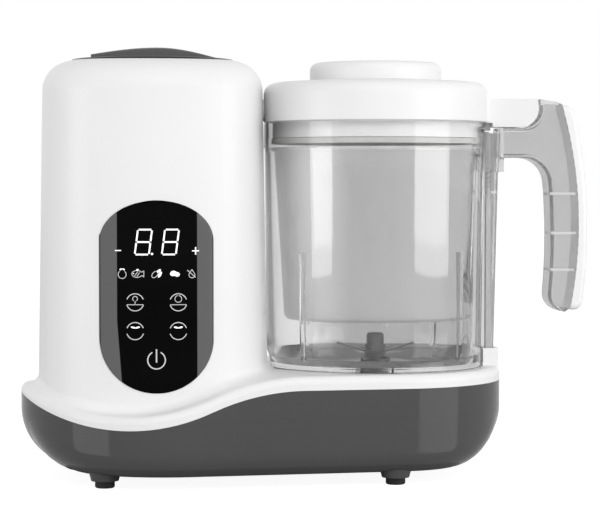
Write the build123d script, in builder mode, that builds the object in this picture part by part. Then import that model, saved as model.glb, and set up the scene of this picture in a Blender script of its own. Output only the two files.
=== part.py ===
"""Countertop baby food maker: a steaming tower, a blending jug and a base that carries both."""

from build123d import *
import math
import os

os.makedirs("parts", exist_ok=True)

# =====================================================================================
# Driving dimensions, in millimetres and degrees.
# X runs from the tower to the jug handle, Y to the back, Z up from the worktop.
# =====================================================================================

# Plan of the base: a large round end under the tower, a smaller one round the jug.
tower_end_r, tower_end_shift = 78.0, 8.8
jug_x, jug_end_r = 37.2, 66.0
base_underside = 6.5
base_edge_r = 30.0
wall = 2.5

# Seam between the dark base and the light housing: low in front of the tower, high at the jug.
seam_top = 50.0
seam_valley = 31.0
seam_valley_shift = 15.9
seam_valley_r, seam_crest_r = 108.0, 115.0

# Light housing: a deck that follows the seam, and the tower that grows out of it.
deck_rise = 7.0
deck_edge_r = 4.0
tower_side_margin, tower_front_margin = 18.0, 17.0
tower_side_bow, tower_front_bow = 110.0, 92.0
tower_corner_r = 36.0
tower_draft = 0.93
tower_top = 216.8
tower_shoulder_r = 15.0
tower_root_r = 5.0

# Touch panel on the front of the tower.
panel_half_width = 28.4
panel_low, panel_side_low, panel_side_high, panel_high = 49.2, 75.3, 127.4, 145.0
panel_proud, panel_depth, panel_play = 0.4, 1.6, 0.15
panel_ledge = 5.0
board_inset, board_t = 11.0, 1.6
header_w, header_h, chip_w = 16.0, 5.0, 10.0
board_half_width, board_low, board_high = 30.0, 57.0, 139.0
display_width, display_height, display_depth = 36.0, 19.0, 6.2
digit_window_w, digit_window_h = 13.7, 15.2
display_z = 124.4
key_half_pitch, key_z_low, key_z_pitch = 11.4, 89.5, 15.5
power_key_z = 74.0
spring_r = 3.0

# Well in the deck that the jug stands in.
well_floor = 48.0
well_play = 0.6
well_hole_r = 16.0
collar_h, collar_t = 2.5, 2.0
stand_off = 0.3

# Jug.
jug_foot_r, jug_waist_r, jug_rim_r = 56.2, 57.5, 58.0
jug_floor_low, jug_floor_top = 57.0, 59.5
jug_band_low, jug_rim_top = 172.0, 185.0
jug_bore_low_r, jug_bore_high_r, jug_mouth_r = 52.4, 54.6, 55.5
jug_skirt_t = 3.0
jug_corner_r = 4.0
ribs, rib_top, rib_w, rib_in_r = 4, 118.0, 2.4, 51.2
basket_seat = 170.0

# Spine down the jug, and the push rod that runs in it.
spine_w, spine_top, spine_foot = 14.0, 180.0, 58.3
spine_low_r, spine_high_r, spine_edge_r = 62.8, 65.7, 3.0
spine_wall = 1.2
rod_r, rod_t, rod_w = 60.1, 2.4, 5.0
rod_low, rod_top, rod_play = 59.6, 180.9, 0.3
rod_stroke, rod_stem_r, rod_collar_r, rod_collar_t = 3.0, 1.2, 1.9, 1.5
spring_wire, spring_play, spring_low, spring_h, spring_turns = 0.5, 0.3, 149.5, 12.5, 5
spring_ledge_t = 1.5
socket_t, socket_play, socket_top = 2.2, 0.5, 66.0

# Handle.
handle_w, handle_wall, handle_edge_r = 22.0, 2.2, 3.0
notch_edge_r = 2.2
arm_low, arm_top = 167.0, 182.8
arm_root_low = 159.5
arm_crest = 198.0
notch_x, notch_r, notch_swing = 114.0, 10.2, 97.0
grip_inner_x, grip_inner_bow = 128.8, 1.3
grip_inner_low, grip_inner_high = 95.3, 154.2
grip_foot_z = 85.1
grip_outer_x, grip_outer_z = 144.8, 127.0
grip_head_x, grip_head_z = 135.6, 195.2
grip_heel_x, grip_heel_z = 140.4, 86.5
cover_outer_x = 150.0
cover_head_x, cover_head_z = 143.8, 188.5
cover_heel_x, cover_heel_z = 147.6, 90.6
cover_edge_r = 3.0
handle_rib_t = 1.4
handle_ribs = (107.5, 127.0, 148.0)
bracket_len = 17.6

# Lid.
lid_low, lid_top, lid_r = 185.5, 207.6, 57.9
lid_shoulder_r, lid_shoulder_swing, lid_wall = 6.5, 84.0, 2.2
lid_plug_r, lid_plug_low = 54.6, 177.3
dome_r, dome_top, dome_edge_r = 34.8, 217.0, 4.0
lobe_w, lobe_reach, lobe_top, lobe_edge_r = 26.0, 97.3, 206.4, 12.0
tab_w, tab_top, tab_play = 21.0, 198.2, 0.5
seal_low, seal_high = 174.2, 177.0
cam_w, cam_gap = 5.0, 0.6
liner_z, liner_t = 182.0, 1.6
liner_slots, liner_slot_len = 8, 11.0

# Steaming basket.
basket_top_r, basket_low_r, basket_low, basket_t = 53.7, 48.5, 82.0, 1.6
basket_rim_t = 2.0
basket_foot_h, basket_feet = 2.0, 6
basket_slot_len, basket_slot_w = 8.0, 2.0
basket_rows = ((12.0, 6), (24.0, 12), (37.0, 18))

# Blades and the drive to them.
shaft_r, bore_play = 3.0, 0.03
bush_r, bush_flange_r, bush_top = 8.0, 12.0, 60.9
bush_flange_t, bush_seal_t = 1.2, 0.8
blade_t, blade_reach, blade_w = 1.0, 20.5, 9.0
lower_blade_turn, upper_blade_turn = 62.0, -8.0
lower_blade_z = 61.5
hub_r, hub_cap_r, hub_top = 5.3, 4.6, 74.0
jug_coupler_r, jug_coupler_low, coupler_web = 14.5, 49.2, 1.5
coupler_bore_r, coupler_hub_r, coupler_tooth_r = 12.2, 6.4, 11.4
coupler_tooth_swing, coupler_teeth = 46.0, 3
coupler_disc_r, coupler_disc_t = 13.0, 3.6

# Motor.
motor_r, motor_low, motor_top, motor_wall = 31.0, 13.0, 37.0, 1.6
magnet_t, magnet_swing = 4.0, 130.0
rotor_slots, vent_slots, vent_pitch_r, vent_len = 8, 10, 20.5, 12.4
rotor_gap = 0.8
motor_shaft_r = 2.5
bearing_r, bearing_t = 7.0, 4.0
bracket_r, bracket_t = 36.0, 1.6
damper_pitch_r, damper_r, damper_h, dampers = 42.0, 6.0, 3.4, 4
motor_screw_r = 2.0
fan_r, fan_t, fan_hub_r, fan_gap, fan_blades = 25.0, 3.6, 6.0, 0.8, 9

# Boiler in the tower.
boiler_room, boiler_wall, boiler_flange_w, boiler_flange_t = 19.0, 2.0, 4.0, 2.5
boiler_low, boiler_seam, boiler_shoulder_h = 104.0, 130.0, 14.0
gasket_t = 1.5
element_ring_r, element_r, element_swing = 26.0, 3.6, 300.0
element_pin_r, element_pin_h, pin_turn = 1.8, 14.0, 4.0
neck_r, neck_h, neck_wall, neck_play = 29.7, 20.8, 2.4, 0.3
neck_seat_r, neck_seat_t = 18.0, 4.0
bayonet_r, bayonet_drop, bayonet_t = 23.6, 7.8, 3.6
bayonet_swing, bayonet_play, bayonet_lugs = 36.0, 8.0, 3
nozzle_rise, steam_pipe_rise = 6.5, 18.0
steam_tube_r, steam_bore_r = 3.5, 2.2
nozzle_r, nozzle_flange_r, nozzle_proud, nozzle_play = 5.6, 8.5, 0.7, 0.6

# Filler cap.
cap_r, cap_edge_t, cap_dome_h, cap_gap = 42.5, 1.6, 1.4, 0.3
grip_len, grip_w, grip_rise, grip_lead = 64.6, 18.0, 8.8, 3.0
stem_r, stem_wall, lug_r, lug_t, lug_gap = 22.8, 2.2, 26.6, 3.2, 0.6
cap_seal_r, cap_seal_t = 22.0, 3.0

# Feet, screws, switch and cord entry.
left_foot_inset, left_foot_turn = 16.3, 124.2
right_foot_inset, right_foot_turn = 14.8, 85.4
foot_r, foot_h, foot_sink = 5.0, 3.6, 2.0
foot_boss_r, foot_boss_top_r, foot_boss_h = 7.0, 11.4, 16.0
screw_r, screw_head_r, screw_head_h, boss_r = 1.8, 3.4, 2.6, 5.0
screw_seat, boss_join, screw_bite = 18.0, 30.0, 9.0
housing_boss_inset = 18.5
jug_boss_inset, jug_boss_turn = 16.0, 24.0
power_board_low, power_board_t = 14.0, 1.6
board_post_left, board_post_right, board_post_y = 36.0, 26.0, 34.0
relay_size, transformer_size = (19.0, 15.5, 15.0), (22.0, 20.0, 17.0)
capacitor_r, capacitor_h, sink_w, sink_h = 5.0, 16.0, 20.0, 18.0
switch_top, switch_h, switch_len, switch_w = 38.0, 9.0, 16.0, 6.0
plunger_r, plunger_play = 1.1, 0.3
gland_x, gland_z, gland_bore_r, gland_r, gland_flange_r = -18.0, 38.0, 3.6, 6.0, 7.6
gland_sink, gland_len, gland_flange_t = 1.5, 16.0, 2.6

# Places that follow from the sizes above.
full_turn = 360.0
deck_top = seam_top + deck_rise
base_floor = base_underside + wall
tower_half_width, tower_half_depth = tower_end_r - tower_side_margin, tower_end_r - tower_front_margin
tower_x = jug_x - jug_rim_r - tower_half_width
tower_end_x = tower_x + tower_end_shift
seam_valley_x = tower_x - seam_valley_shift
board_y = board_inset - tower_half_depth
boiler_flange_r = tower_half_depth - boiler_room
boiler_r = boiler_flange_r - boiler_flange_w
boiler_top = tower_top - neck_h
boiler_shoulder = boiler_top - boiler_shoulder_h
neck_seat_top = boiler_top + neck_seat_t
bayonet_low = tower_top - bayonet_drop
grip_top = tower_top + grip_rise
steam_nozzle_z = lid_low + nozzle_rise
steam_outlet_z = steam_nozzle_z - steam_pipe_rise
tab_low = arm_top + tab_play
seam_swing = math.degrees(math.acos(1 - (seam_top - seam_valley) / (seam_valley_r + seam_crest_r)))
seam_crest_x = seam_valley_x + (seam_valley_r + seam_crest_r) * math.sin(math.radians(seam_swing))
well_r = jug_foot_r + well_play
draft_slope = math.tan(math.radians(tower_draft))
jug_axis = Axis((jug_x, 0, 0), (0, 0, 1))
tower_axis = Axis((tower_x, 0, 0), (0, 0, 1))


def front_of_tower(z):
    """Depth of the tower's front skin on its centre line, at a height."""
    return -tower_half_depth + (z - deck_top) * draft_slope


def side_of_tower(z):
    """X of the tower's skin on the side that faces the jug, at a height."""
    return tower_x + tower_half_width - (z - deck_top) * draft_slope


def back_of_base(x):
    """Depth of the base plan's straight side, at a place between its two round ends."""
    lean = (tower_end_r - jug_end_r) / (jug_x - tower_end_x)
    return (tower_end_r - (x - tower_end_x) * lean) / math.sqrt(1 - lean ** 2)


def round_the_rim(end_x, end_r, inset, turn):
    """Two places, front and back, at an inset from the rim of one end of the base plan."""
    x = end_x + (end_r - inset) * math.cos(math.radians(turn))
    y = (end_r - inset) * math.sin(math.radians(turn))
    return [(x, -y), (x, y)]


gland_seat_y = back_of_base(gland_x) - gland_sink


# =====================================================================================
# Shared forms
# =====================================================================================

def plan_block(inset, low, high, edge_r=0):
    """The base plan drawn in by inset, from low to high, with its lower edge rounded."""
    with BuildPart() as block:
        with BuildSketch(Plane.XY.offset(low)):
            with Locations((tower_end_x, 0)):
                Circle(tower_end_r - inset)
            with Locations((jug_x, 0)):
                Circle(jug_end_r - inset)
            make_hull()
        extrude(amount=high - low)
        if edge_r:
            fillet(block.faces().sort_by(Axis.Z)[0].edges(), edge_r)
    return block.part


def under_seam(rise):
    """Everything under the seam line lifted by rise, right across the product."""
    far_left, far_right = tower_end_x - tower_end_r - wall, jug_x + jug_end_r + wall
    run_out = math.degrees(math.asin((seam_valley_x - far_left) / seam_valley_r))
    with BuildPart() as block:
        with BuildSketch(Plane.XZ):
            with BuildLine():
                crest = JernArc((seam_crest_x, seam_top + rise), (-1, 0), seam_crest_r, seam_swing)
                valley = JernArc(crest @ 1, crest % 1, seam_valley_r, -seam_swing - run_out)
                Polyline(valley @ 1, (far_left, 0), (far_right, 0),
                         (far_right, seam_top + rise), crest @ 0)
            make_face()
        extrude(amount=tower_end_r + wall, both=True)
    return block.part


def tower_block(grow, low, high, shoulder):
    """The tower's form grown outwards, from low to high, with its top edge rounded."""
    size = grow - (low - deck_top) * draft_slope
    half_width, half_depth = tower_half_width + size, tower_half_depth + size
    side_bow, front_bow = tower_side_bow + size, tower_front_bow + size
    with BuildPart() as block:
        with BuildSketch(Plane.XY.offset(low).move(Location((tower_x, 0, 0)))) as section:
            with Locations((0, front_bow - half_depth)):
                Circle(front_bow)
            with Locations((0, half_depth - front_bow)):
                Circle(front_bow, mode=Mode.INTERSECT)
            with Locations((side_bow - half_width, 0)):
                Circle(side_bow, mode=Mode.INTERSECT)
            with Locations((half_width - side_bow, 0)):
                Circle(side_bow, mode=Mode.INTERSECT)
            corners = [v for v in section.vertices() if abs(v.Y) > 1 and abs(v.X - tower_x) > 1]
            fillet(corners, tower_corner_r + size)
        extrude(amount=high - low, taper=tower_draft)
        if shoulder:
            fillet(block.faces().sort_by(Axis.Z)[-1].edges(), shoulder)
    return block.part


def panel_block(grow, back):
    """The touch panel's outline, grown by an amount, as a prism from in front of the tower to back."""
    half = panel_half_width + grow
    with BuildPart() as block:
        with BuildSketch(Plane.XZ.offset(-back).move(Location((tower_x, 0, 0)))):
            with BuildLine():
                ThreePointArc((-half, panel_side_low), (0, panel_low - grow), (half, panel_side_low))
                Line((half, panel_side_low), (half, panel_side_high))
                ThreePointArc((half, panel_side_high), (0, panel_high + grow), (-half, panel_side_high))
                Line((-half, panel_side_high), (-half, panel_side_low))
            make_face()
        extrude(amount=tower_end_r + back)
    return block.part


def ring(axis_x, outer_r, inner_r, low, high):
    """A plain upright ring or, with no inner radius, a disc."""
    with BuildPart() as block:
        with BuildSketch(Plane.XY.offset(low).move(Location((axis_x, 0, 0)))):
            Circle(outer_r)
            if inner_r:
                Circle(inner_r, mode=Mode.SUBTRACT)
        extrude(amount=high - low)
    return block.part


def shared_edges(some, others):
    """Edges that a face of the first group has in common with a face of the second."""
    theirs = others.edges()
    return [edge for edge in some.edges() if any(edge.is_same(other) for other in theirs)]


def finish(piece, name):
    """Name a finished piece and write it out."""
    piece.part.label = name
    export_step(piece.part, f"parts/{name}.step")


# =====================================================================================
# Base
# =====================================================================================

foot_places = (round_the_rim(tower_end_x, tower_end_r, left_foot_inset, left_foot_turn)
               + round_the_rim(jug_x, jug_end_r, right_foot_inset, right_foot_turn))
damper_turns = [math.radians((n + 0.5) * full_turn / dampers) for n in range(dampers)]
damper_places = [(jug_x + damper_pitch_r * math.cos(turn), damper_pitch_r * math.sin(turn))
                 for turn in damper_turns]
housing_boss_reach = tower_half_width - housing_boss_inset
join_places = ([(tower_x - housing_boss_reach, -housing_boss_reach),
                (tower_x - housing_boss_reach, housing_boss_reach)]
               + round_the_rim(jug_x, jug_end_r, jug_boss_inset, jug_boss_turn))
socket_half = spine_w / 2 + socket_play + socket_t
damper_seat = motor_top - damper_h
bracket_top = motor_top + bracket_t
board_posts = [(tower_end_x + x, y) for x in (-board_post_left, board_post_right)
               for y in (-board_post_y, board_post_y)]
switch_x = jug_x + rod_r - switch_len / 2 + plunger_r
switch_low = switch_top - switch_h

shell_outside = plan_block(0, base_underside, deck_top, base_edge_r)
shell_inside = plan_block(wall, base_floor, deck_top + wall, base_edge_r - wall)
seam_cut = under_seam(0)

# Posts for the motor, the screws that join base and housing, the power board and the switch.
with BuildPart() as base_posts:
    with BuildSketch(Plane.XY):
        with Locations(*damper_places):
            Circle(boss_r)
    extrude(amount=damper_seat)
    with BuildSketch(Plane.XY):
        with Locations(*join_places):
            Circle(boss_r)
    extrude(amount=boss_join)
    with BuildSketch(Plane.XY):
        with Locations(*board_posts):
            Circle(screw_head_r)
    extrude(amount=power_board_low)
    with BuildSketch(Plane.XY):
        with Locations((switch_x, 0)):
            Rectangle(switch_len, switch_w)
    extrude(amount=switch_low)
    add(plan_block(wall / 2, base_floor - wall / 2, deck_top, base_edge_r - wall / 2), mode=Mode.INTERSECT)

with BuildPart() as base_shell:
    add(shell_outside)
    with Locations(*[(x, y, foot_h) for x, y in foot_places]):
        Cone(foot_boss_r, foot_boss_top_r, foot_boss_h, align=(Align.CENTER, Align.CENTER, Align.MIN))
    add(shell_inside, mode=Mode.SUBTRACT)
    add(base_posts.part)
    # Thickened pad behind the cord entry.
    with BuildSketch(Plane.XZ.offset(-gland_seat_y + wall)):
        with Locations((gland_x, gland_z)):
            Circle(gland_flange_r + wall)
    extrude(amount=-wall)
    add(seam_cut, mode=Mode.INTERSECT)
    # Recess and hole for the cord gland.
    with BuildSketch(Plane.XZ.offset(-gland_seat_y)):
        with Locations((gland_x, gland_z)):
            Circle(gland_flange_r + panel_play)
    extrude(amount=-gland_len, mode=Mode.SUBTRACT)
    with BuildSketch(Plane.XZ.offset(-gland_seat_y + 2 * wall)):
        with Locations((gland_x, gland_z)):
            Circle(gland_r + bore_play)
    extrude(amount=-gland_len, mode=Mode.SUBTRACT)
    # Screw holes with head recesses, foot sockets and post bores.
    with Locations(*[(x, y, 0) for x, y in join_places]):
        Cylinder(screw_r + panel_play, boss_join, align=(Align.CENTER, Align.CENTER, Align.MIN),
                 mode=Mode.SUBTRACT)
        Cylinder(screw_head_r + panel_play, screw_seat, align=(Align.CENTER, Align.CENTER, Align.MIN),
                 mode=Mode.SUBTRACT)
    with Locations(*[(x, y, foot_h) for x, y in foot_places]):
        Cylinder(foot_r - foot_sink, foot_sink, align=(Align.CENTER, Align.CENTER, Align.MIN),
                 mode=Mode.SUBTRACT)
    with Locations(*[(x, y, damper_seat) for x, y in damper_places]):
        Cylinder(motor_screw_r + bore_play, boss_r * 2, align=(Align.CENTER, Align.CENTER, Align.MAX),
                 mode=Mode.SUBTRACT)
    # Air slots under the motor.
    with BuildSketch(Plane.XY.offset(base_underside)):
        with Locations((jug_x, 0)):
            with PolarLocations(vent_pitch_r, vent_slots):
                Rectangle(vent_len, wall)
    extrude(amount=wall, mode=Mode.SUBTRACT)
finish(base_shell, "base_shell")

with BuildPart() as rubber_feet:
    with Locations(*[(x, y, 0) for x, y in foot_places]):
        Cylinder(foot_r, foot_h, align=(Align.CENTER, Align.CENTER, Align.MIN))
        Cylinder(foot_r - foot_sink - bore_play, foot_h + foot_sink - stand_off,
                 align=(Align.CENTER, Align.CENTER, Align.MIN))
    chamfer(rubber_feet.faces().group_by(Axis.Z)[0].edges(), foot_h / 6)
finish(rubber_feet, "rubber_feet")

with BuildPart() as base_screws:
    with Locations(*[(x, y, screw_seat) for x, y in join_places]):
        Cylinder(screw_head_r, screw_head_h, align=(Align.CENTER, Align.CENTER, Align.MAX))
        Cylinder(screw_r, boss_join + screw_bite - screw_seat, align=(Align.CENTER, Align.CENTER, Align.MIN))
finish(base_screws, "base_screws")

# =====================================================================================
# Housing
# =====================================================================================

deck_form = plan_block(0, base_floor, deck_top + wall)
deck_limit = under_seam(deck_rise)
deck_inside = plan_block(wall, 0, deck_top + wall)
deck_inside_limit = under_seam(deck_rise - wall)
with BuildPart() as housing_hollow:
    add(deck_inside)
    add(deck_inside_limit, mode=Mode.INTERSECT)
    add(tower_block(-wall, base_floor, tower_top - wall, tower_shoulder_r - wall))
tower_form = tower_block(0, base_floor, tower_top, tower_shoulder_r)
panel_pocket = panel_block(panel_play, front_of_tower(panel_low) / 2)
panel_window = panel_block(-panel_ledge, front_of_tower(panel_low) / 2)
panel_seat = tower_block(-panel_depth, panel_low - wall, panel_high + wall, 0)
post_x = board_half_width - spring_r
board_bosses_at = [(tower_x + sx * post_x, z) for sx in (-1, 1)
                   for z in (board_low + spring_r, board_high - spring_r)]
tower_mid_skin = tower_block(-wall / 2, base_floor, tower_top - wall, tower_shoulder_r - wall)

with BuildPart() as board_bosses:
    with BuildSketch(Plane.XZ.offset(-board_y)):
        with Locations(*board_bosses_at):
            Circle(spring_r)
    extrude(amount=tower_half_depth)
    add(tower_mid_skin, mode=Mode.INTERSECT)

with BuildPart() as pocket_cut:
    add(panel_pocket)
    add(panel_seat, mode=Mode.SUBTRACT)

with BuildPart() as join_bosses:
    with BuildSketch(Plane.XY.offset(boss_join)):
        with Locations(*join_places):
            Circle(boss_r)
    extrude(amount=well_floor - boss_join)
    with BuildSketch(Plane.XY.offset(boss_join)):
        for side in (-1, 1):
            with Locations(Location((tower_x - housing_boss_reach, side * housing_boss_reach),
                                    -side * 45)):
                Rectangle(4 * boss_r, wall)
    extrude(amount=well_floor - boss_join)
    add(tower_mid_skin, mode=Mode.INTERSECT)
    with BuildSketch(Plane.XY.offset(boss_join)):
        with Locations(*join_places[2:]):
            Circle(boss_r)
    extrude(amount=well_floor - wall / 2 - boss_join)

with BuildPart() as body_housing:
    add(deck_form)
    add(deck_limit, mode=Mode.INTERSECT)
    deck_faces = body_housing.faces().filter_by(lambda f: f.normal_at().Z > 0.5)
    side_faces = body_housing.faces().filter_by(lambda f: abs(f.normal_at().Z) < 0.01)
    fillet(shared_edges(deck_faces, side_faces), deck_edge_r)
    add(tower_form)
    low_edges = body_housing.edges().filter_by(lambda e: (e @ 0.5).Z < deck_top + tower_root_r)
    fillet(low_edges.filter_by(lambda e: tower_form.distance_to(Vertex(e @ 0.5)) < 0.01), tower_root_r)
    add(housing_hollow.part, mode=Mode.SUBTRACT)
    add(seam_cut, mode=Mode.SUBTRACT)
    # Walls of the well, the guide boss for the switch plunger and the socket round the jug's spine.
    add(ring(jug_x, well_r + wall, 0, well_floor - wall, deck_top - deck_edge_r / 4))
    with BuildSketch(Plane.XY.offset(seam_top - wall)):
        with Locations((jug_x + rod_r, 0)):
            Rectangle(2 * (jug_end_r - rod_r), 2 * socket_half)
        with Locations((jug_x, 0)):
            Circle(jug_end_r - wall - bore_play, mode=Mode.INTERSECT)
    extrude(amount=deck_rise + wall / 2)
    with BuildSketch(Plane.XY.offset(seam_top + wall / 2)):
        with Locations((jug_x, 0)):
            Circle(spine_low_r + socket_play + socket_t)
            Circle(well_r + socket_play, mode=Mode.SUBTRACT)
            with Locations((spine_low_r, 0)):
                Rectangle(spine_low_r - well_r + 2 * deck_rise, 2 * socket_half, mode=Mode.INTERSECT)
    extrude(amount=socket_top - seam_top - wall / 2)
    with BuildSketch(Plane.XY.offset(deck_top)):
        with Locations((jug_x, 0)):
            Circle(spine_low_r + socket_play)
            with Locations((spine_low_r, 0)):
                Rectangle(2 * spine_low_r, 2 * (socket_half - socket_t), mode=Mode.INTERSECT)
    extrude(amount=socket_top, mode=Mode.SUBTRACT)
    # Screw bosses and posts for the panel's board.
    add(join_bosses.part)
    add(board_bosses.part)
    with Locations(*[(x, y, boss_join) for x, y in join_places]):
        Cylinder(boss_r, well_floor - wall - boss_join, align=(Align.CENTER, Align.CENTER, Align.MIN))
        Cylinder(screw_r + bore_play, screw_bite + wall / 2, align=(Align.CENTER, Align.CENTER, Align.MIN),
                 mode=Mode.SUBTRACT)
    # The well, open to the tower only through the drive hole, with a raised drip collar.
    add(ring(jug_x, well_r, 0, well_floor, deck_top + tower_shoulder_r), mode=Mode.SUBTRACT)
    add(ring(jug_x, well_hole_r + collar_t, 0, well_floor - wall, well_floor + collar_h))
    add(ring(jug_x, well_hole_r, 0, base_floor, deck_top), mode=Mode.SUBTRACT)
    with Locations((jug_x + rod_r, 0, seam_top)):
        Cylinder(plunger_r + plunger_play, 2 * deck_rise, mode=Mode.SUBTRACT)
    # Seat and window for the touch panel, filler mouth and steam outlet.
    add(pocket_cut.part, mode=Mode.SUBTRACT)
    add(panel_window, mode=Mode.SUBTRACT)
    add(ring(tower_x, neck_r + neck_play, 0, tower_top - tower_shoulder_r, tower_top), mode=Mode.SUBTRACT)
    with BuildSketch(Plane.YZ.offset(tower_x)):
        with Locations((0, steam_nozzle_z)):
            Circle(nozzle_r + bore_play)
    extrude(amount=tower_half_width + wall, mode=Mode.SUBTRACT)
finish(body_housing, "body_housing")

# =====================================================================================
# Touch panel and its electronics
# =====================================================================================

panel_face = tower_block(panel_proud, panel_low - wall, panel_high + wall, 0)
panel_back = tower_block(bore_play - panel_depth, panel_low - wall, panel_high + wall, 0)
panel_outline = panel_block(0, front_of_tower(panel_low) / 2)
touch_places = [(tower_x + side * key_half_pitch, key_z_low + row * key_z_pitch)
                for side in (-1, 1) for row in (0, 1)]
touch_places.append((tower_x, power_key_z))

with BuildPart() as panel_lens:
    add(panel_outline)
    add(panel_face, mode=Mode.INTERSECT)
    add(panel_back, mode=Mode.SUBTRACT)
finish(panel_lens, "panel_lens")

with BuildPart() as display_module:
    with BuildSketch(Plane.XZ.offset(-board_y)):
        with Locations((tower_x, display_z)):
            RectangleRounded(display_width, display_height, wall / 2)
    extrude(amount=display_depth)
    # Two digit windows sunk into the front.
    with BuildSketch(Plane.XZ.offset(display_depth - board_y)):
        with Locations((tower_x - display_width / 4, display_z), (tower_x + display_width / 4, display_z)):
            Rectangle(digit_window_w, digit_window_h)
    extrude(amount=-board_t / 2, mode=Mode.SUBTRACT)
finish(display_module, "display_module")

with BuildPart() as display_board:
    with BuildSketch(Plane.XZ.offset(-board_y - board_t)):
        with Locations((tower_x, (board_low + board_high) / 2)):
            RectangleRounded(2 * board_half_width, board_high - board_low, spring_r)
        with Locations(*board_bosses_at):
            Circle(spring_r / 3, mode=Mode.SUBTRACT)
    extrude(amount=board_t)
    # Cable header and controller chip on the back.
    with Locations((tower_x, board_y + board_t, display_z)):
        Box(header_w, 2 * board_t, header_h, align=(Align.CENTER, Align.MIN, Align.CENTER))
    with Locations((tower_x, board_y + board_t, key_z_low)):
        Box(chip_w, board_t, chip_w, align=(Align.CENTER, Align.MIN, Align.CENTER))
finish(display_board, "display_board")

with BuildPart() as touch_springs:
    with BuildSketch(Plane.XZ.offset(-board_y)):
        with Locations(*touch_places):
            Circle(spring_r)
            Circle(spring_r - board_t / 2, mode=Mode.SUBTRACT)
    extrude(amount=tower_half_depth)
    add(panel_back, mode=Mode.INTERSECT)
finish(touch_springs, "touch_springs")

# =====================================================================================
# Boiler, steam path and filler neck
# =====================================================================================

def turned(axis_x, outline):
    """A closed outline of radius and height points, turned about an upright axis."""
    with BuildPart() as block:
        with BuildSketch(Plane((axis_x, 0, 0), x_dir=(1, 0, 0), z_dir=(0, -1, 0))):
            with BuildLine():
                Polyline(*outline, close=True)
            make_face()
        revolve(axis=Axis((axis_x, 0, 0), (0, 0, 1)))
    return block.part


upper_seam = boiler_seam + gasket_t
outlet_x = tower_x + boiler_r
tank_bore_r = boiler_r - boiler_wall

with BuildPart() as boiler_dish:
    add(turned(tower_x, [(0, boiler_low), (boiler_r, boiler_low), (boiler_r, boiler_seam - boiler_flange_t),
                         (boiler_flange_r, boiler_seam - boiler_flange_t), (boiler_flange_r, boiler_seam),
                         (tank_bore_r, boiler_seam), (tank_bore_r, boiler_low + boiler_wall),
                         (0, boiler_low + boiler_wall)]))
    fillet(boiler_dish.faces().sort_by(Axis.Z)[0].edges(), boiler_wall * 2)
finish(boiler_dish, "boiler_dish")

with BuildPart() as heating_element:
    element_z = boiler_low - element_r
    with BuildSketch(Plane((tower_x, 0, 0), x_dir=(1, 0, 0), z_dir=(0, -1, 0))):
        with Locations((element_ring_r, element_z)):
            Circle(element_r)
    revolve(axis=tower_axis, revolution_arc=element_swing)
    with BuildSketch(Plane.XY.offset(element_z - element_r - element_pin_h)):
        with Locations((tower_x, 0)):
            with PolarLocations(element_ring_r, 2, start_angle=pin_turn,
                                angular_range=element_swing - 2 * pin_turn, endpoint=True):
                Circle(element_pin_r)
    extrude(amount=element_pin_h + element_r)
finish(heating_element, "heating_element")

with BuildPart() as boiler_seal:
    add(ring(tower_x, boiler_flange_r, tank_bore_r, boiler_seam, upper_seam))
finish(boiler_seal, "boiler_seal")

with BuildPart() as boiler_tank:
    tank_flange_top = upper_seam + boiler_flange_t
    tank_roof = boiler_top - boiler_wall
    add(turned(tower_x, [(tank_bore_r, upper_seam), (boiler_flange_r, upper_seam),
                         (boiler_flange_r, tank_flange_top), (boiler_r, tank_flange_top),
                         (boiler_r, boiler_shoulder), (neck_r, boiler_top), (neck_seat_r, boiler_top),
                         (neck_seat_r, tank_roof), (neck_r - boiler_wall, tank_roof),
                         (tank_bore_r, boiler_shoulder - boiler_wall / 2)]))
    with BuildSketch(Plane.YZ.offset(outlet_x - boiler_wall / 2)):
        with Locations((0, steam_outlet_z)):
            Circle(steam_tube_r)
    extrude(amount=boiler_wall * 2)
    with BuildSketch(Plane.YZ.offset(outlet_x - 2 * boiler_wall)):
        with Locations((0, steam_outlet_z)):
            Circle(steam_bore_r)
    extrude(amount=boiler_wall * 4, mode=Mode.SUBTRACT)
finish(boiler_tank, "boiler_tank")

with BuildPart() as filler_neck:
    add(turned(tower_x, [(neck_seat_r, boiler_top), (neck_r, boiler_top), (neck_r, tower_top),
                         (neck_r - neck_wall, tower_top), (neck_r - neck_wall, bayonet_low + bayonet_t),
                         (bayonet_r, bayonet_low + bayonet_t), (bayonet_r, bayonet_low),
                         (neck_r - neck_wall, bayonet_low), (neck_r - neck_wall, neck_seat_top),
                         (neck_seat_r, neck_seat_top)]))
    # Three slots that the cap's lugs drop through.
    with BuildSketch(Plane.XY.offset(bayonet_low)):
        with Locations((tower_x, 0)):
            for lug in range(bayonet_lugs):
                half = bayonet_swing / 2 + bayonet_play
                start = lug * full_turn / bayonet_lugs - half
                with BuildLine():
                    PolarLine((tower_x, 0), neck_r - neck_wall, start)
                    arc = CenterArc((tower_x, 0), neck_r - neck_wall, start, 2 * half)
                    Line(arc @ 1, (tower_x, 0))
                make_face()
    extrude(amount=bayonet_t, mode=Mode.SUBTRACT)
finish(filler_neck, "filler_neck")

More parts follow.
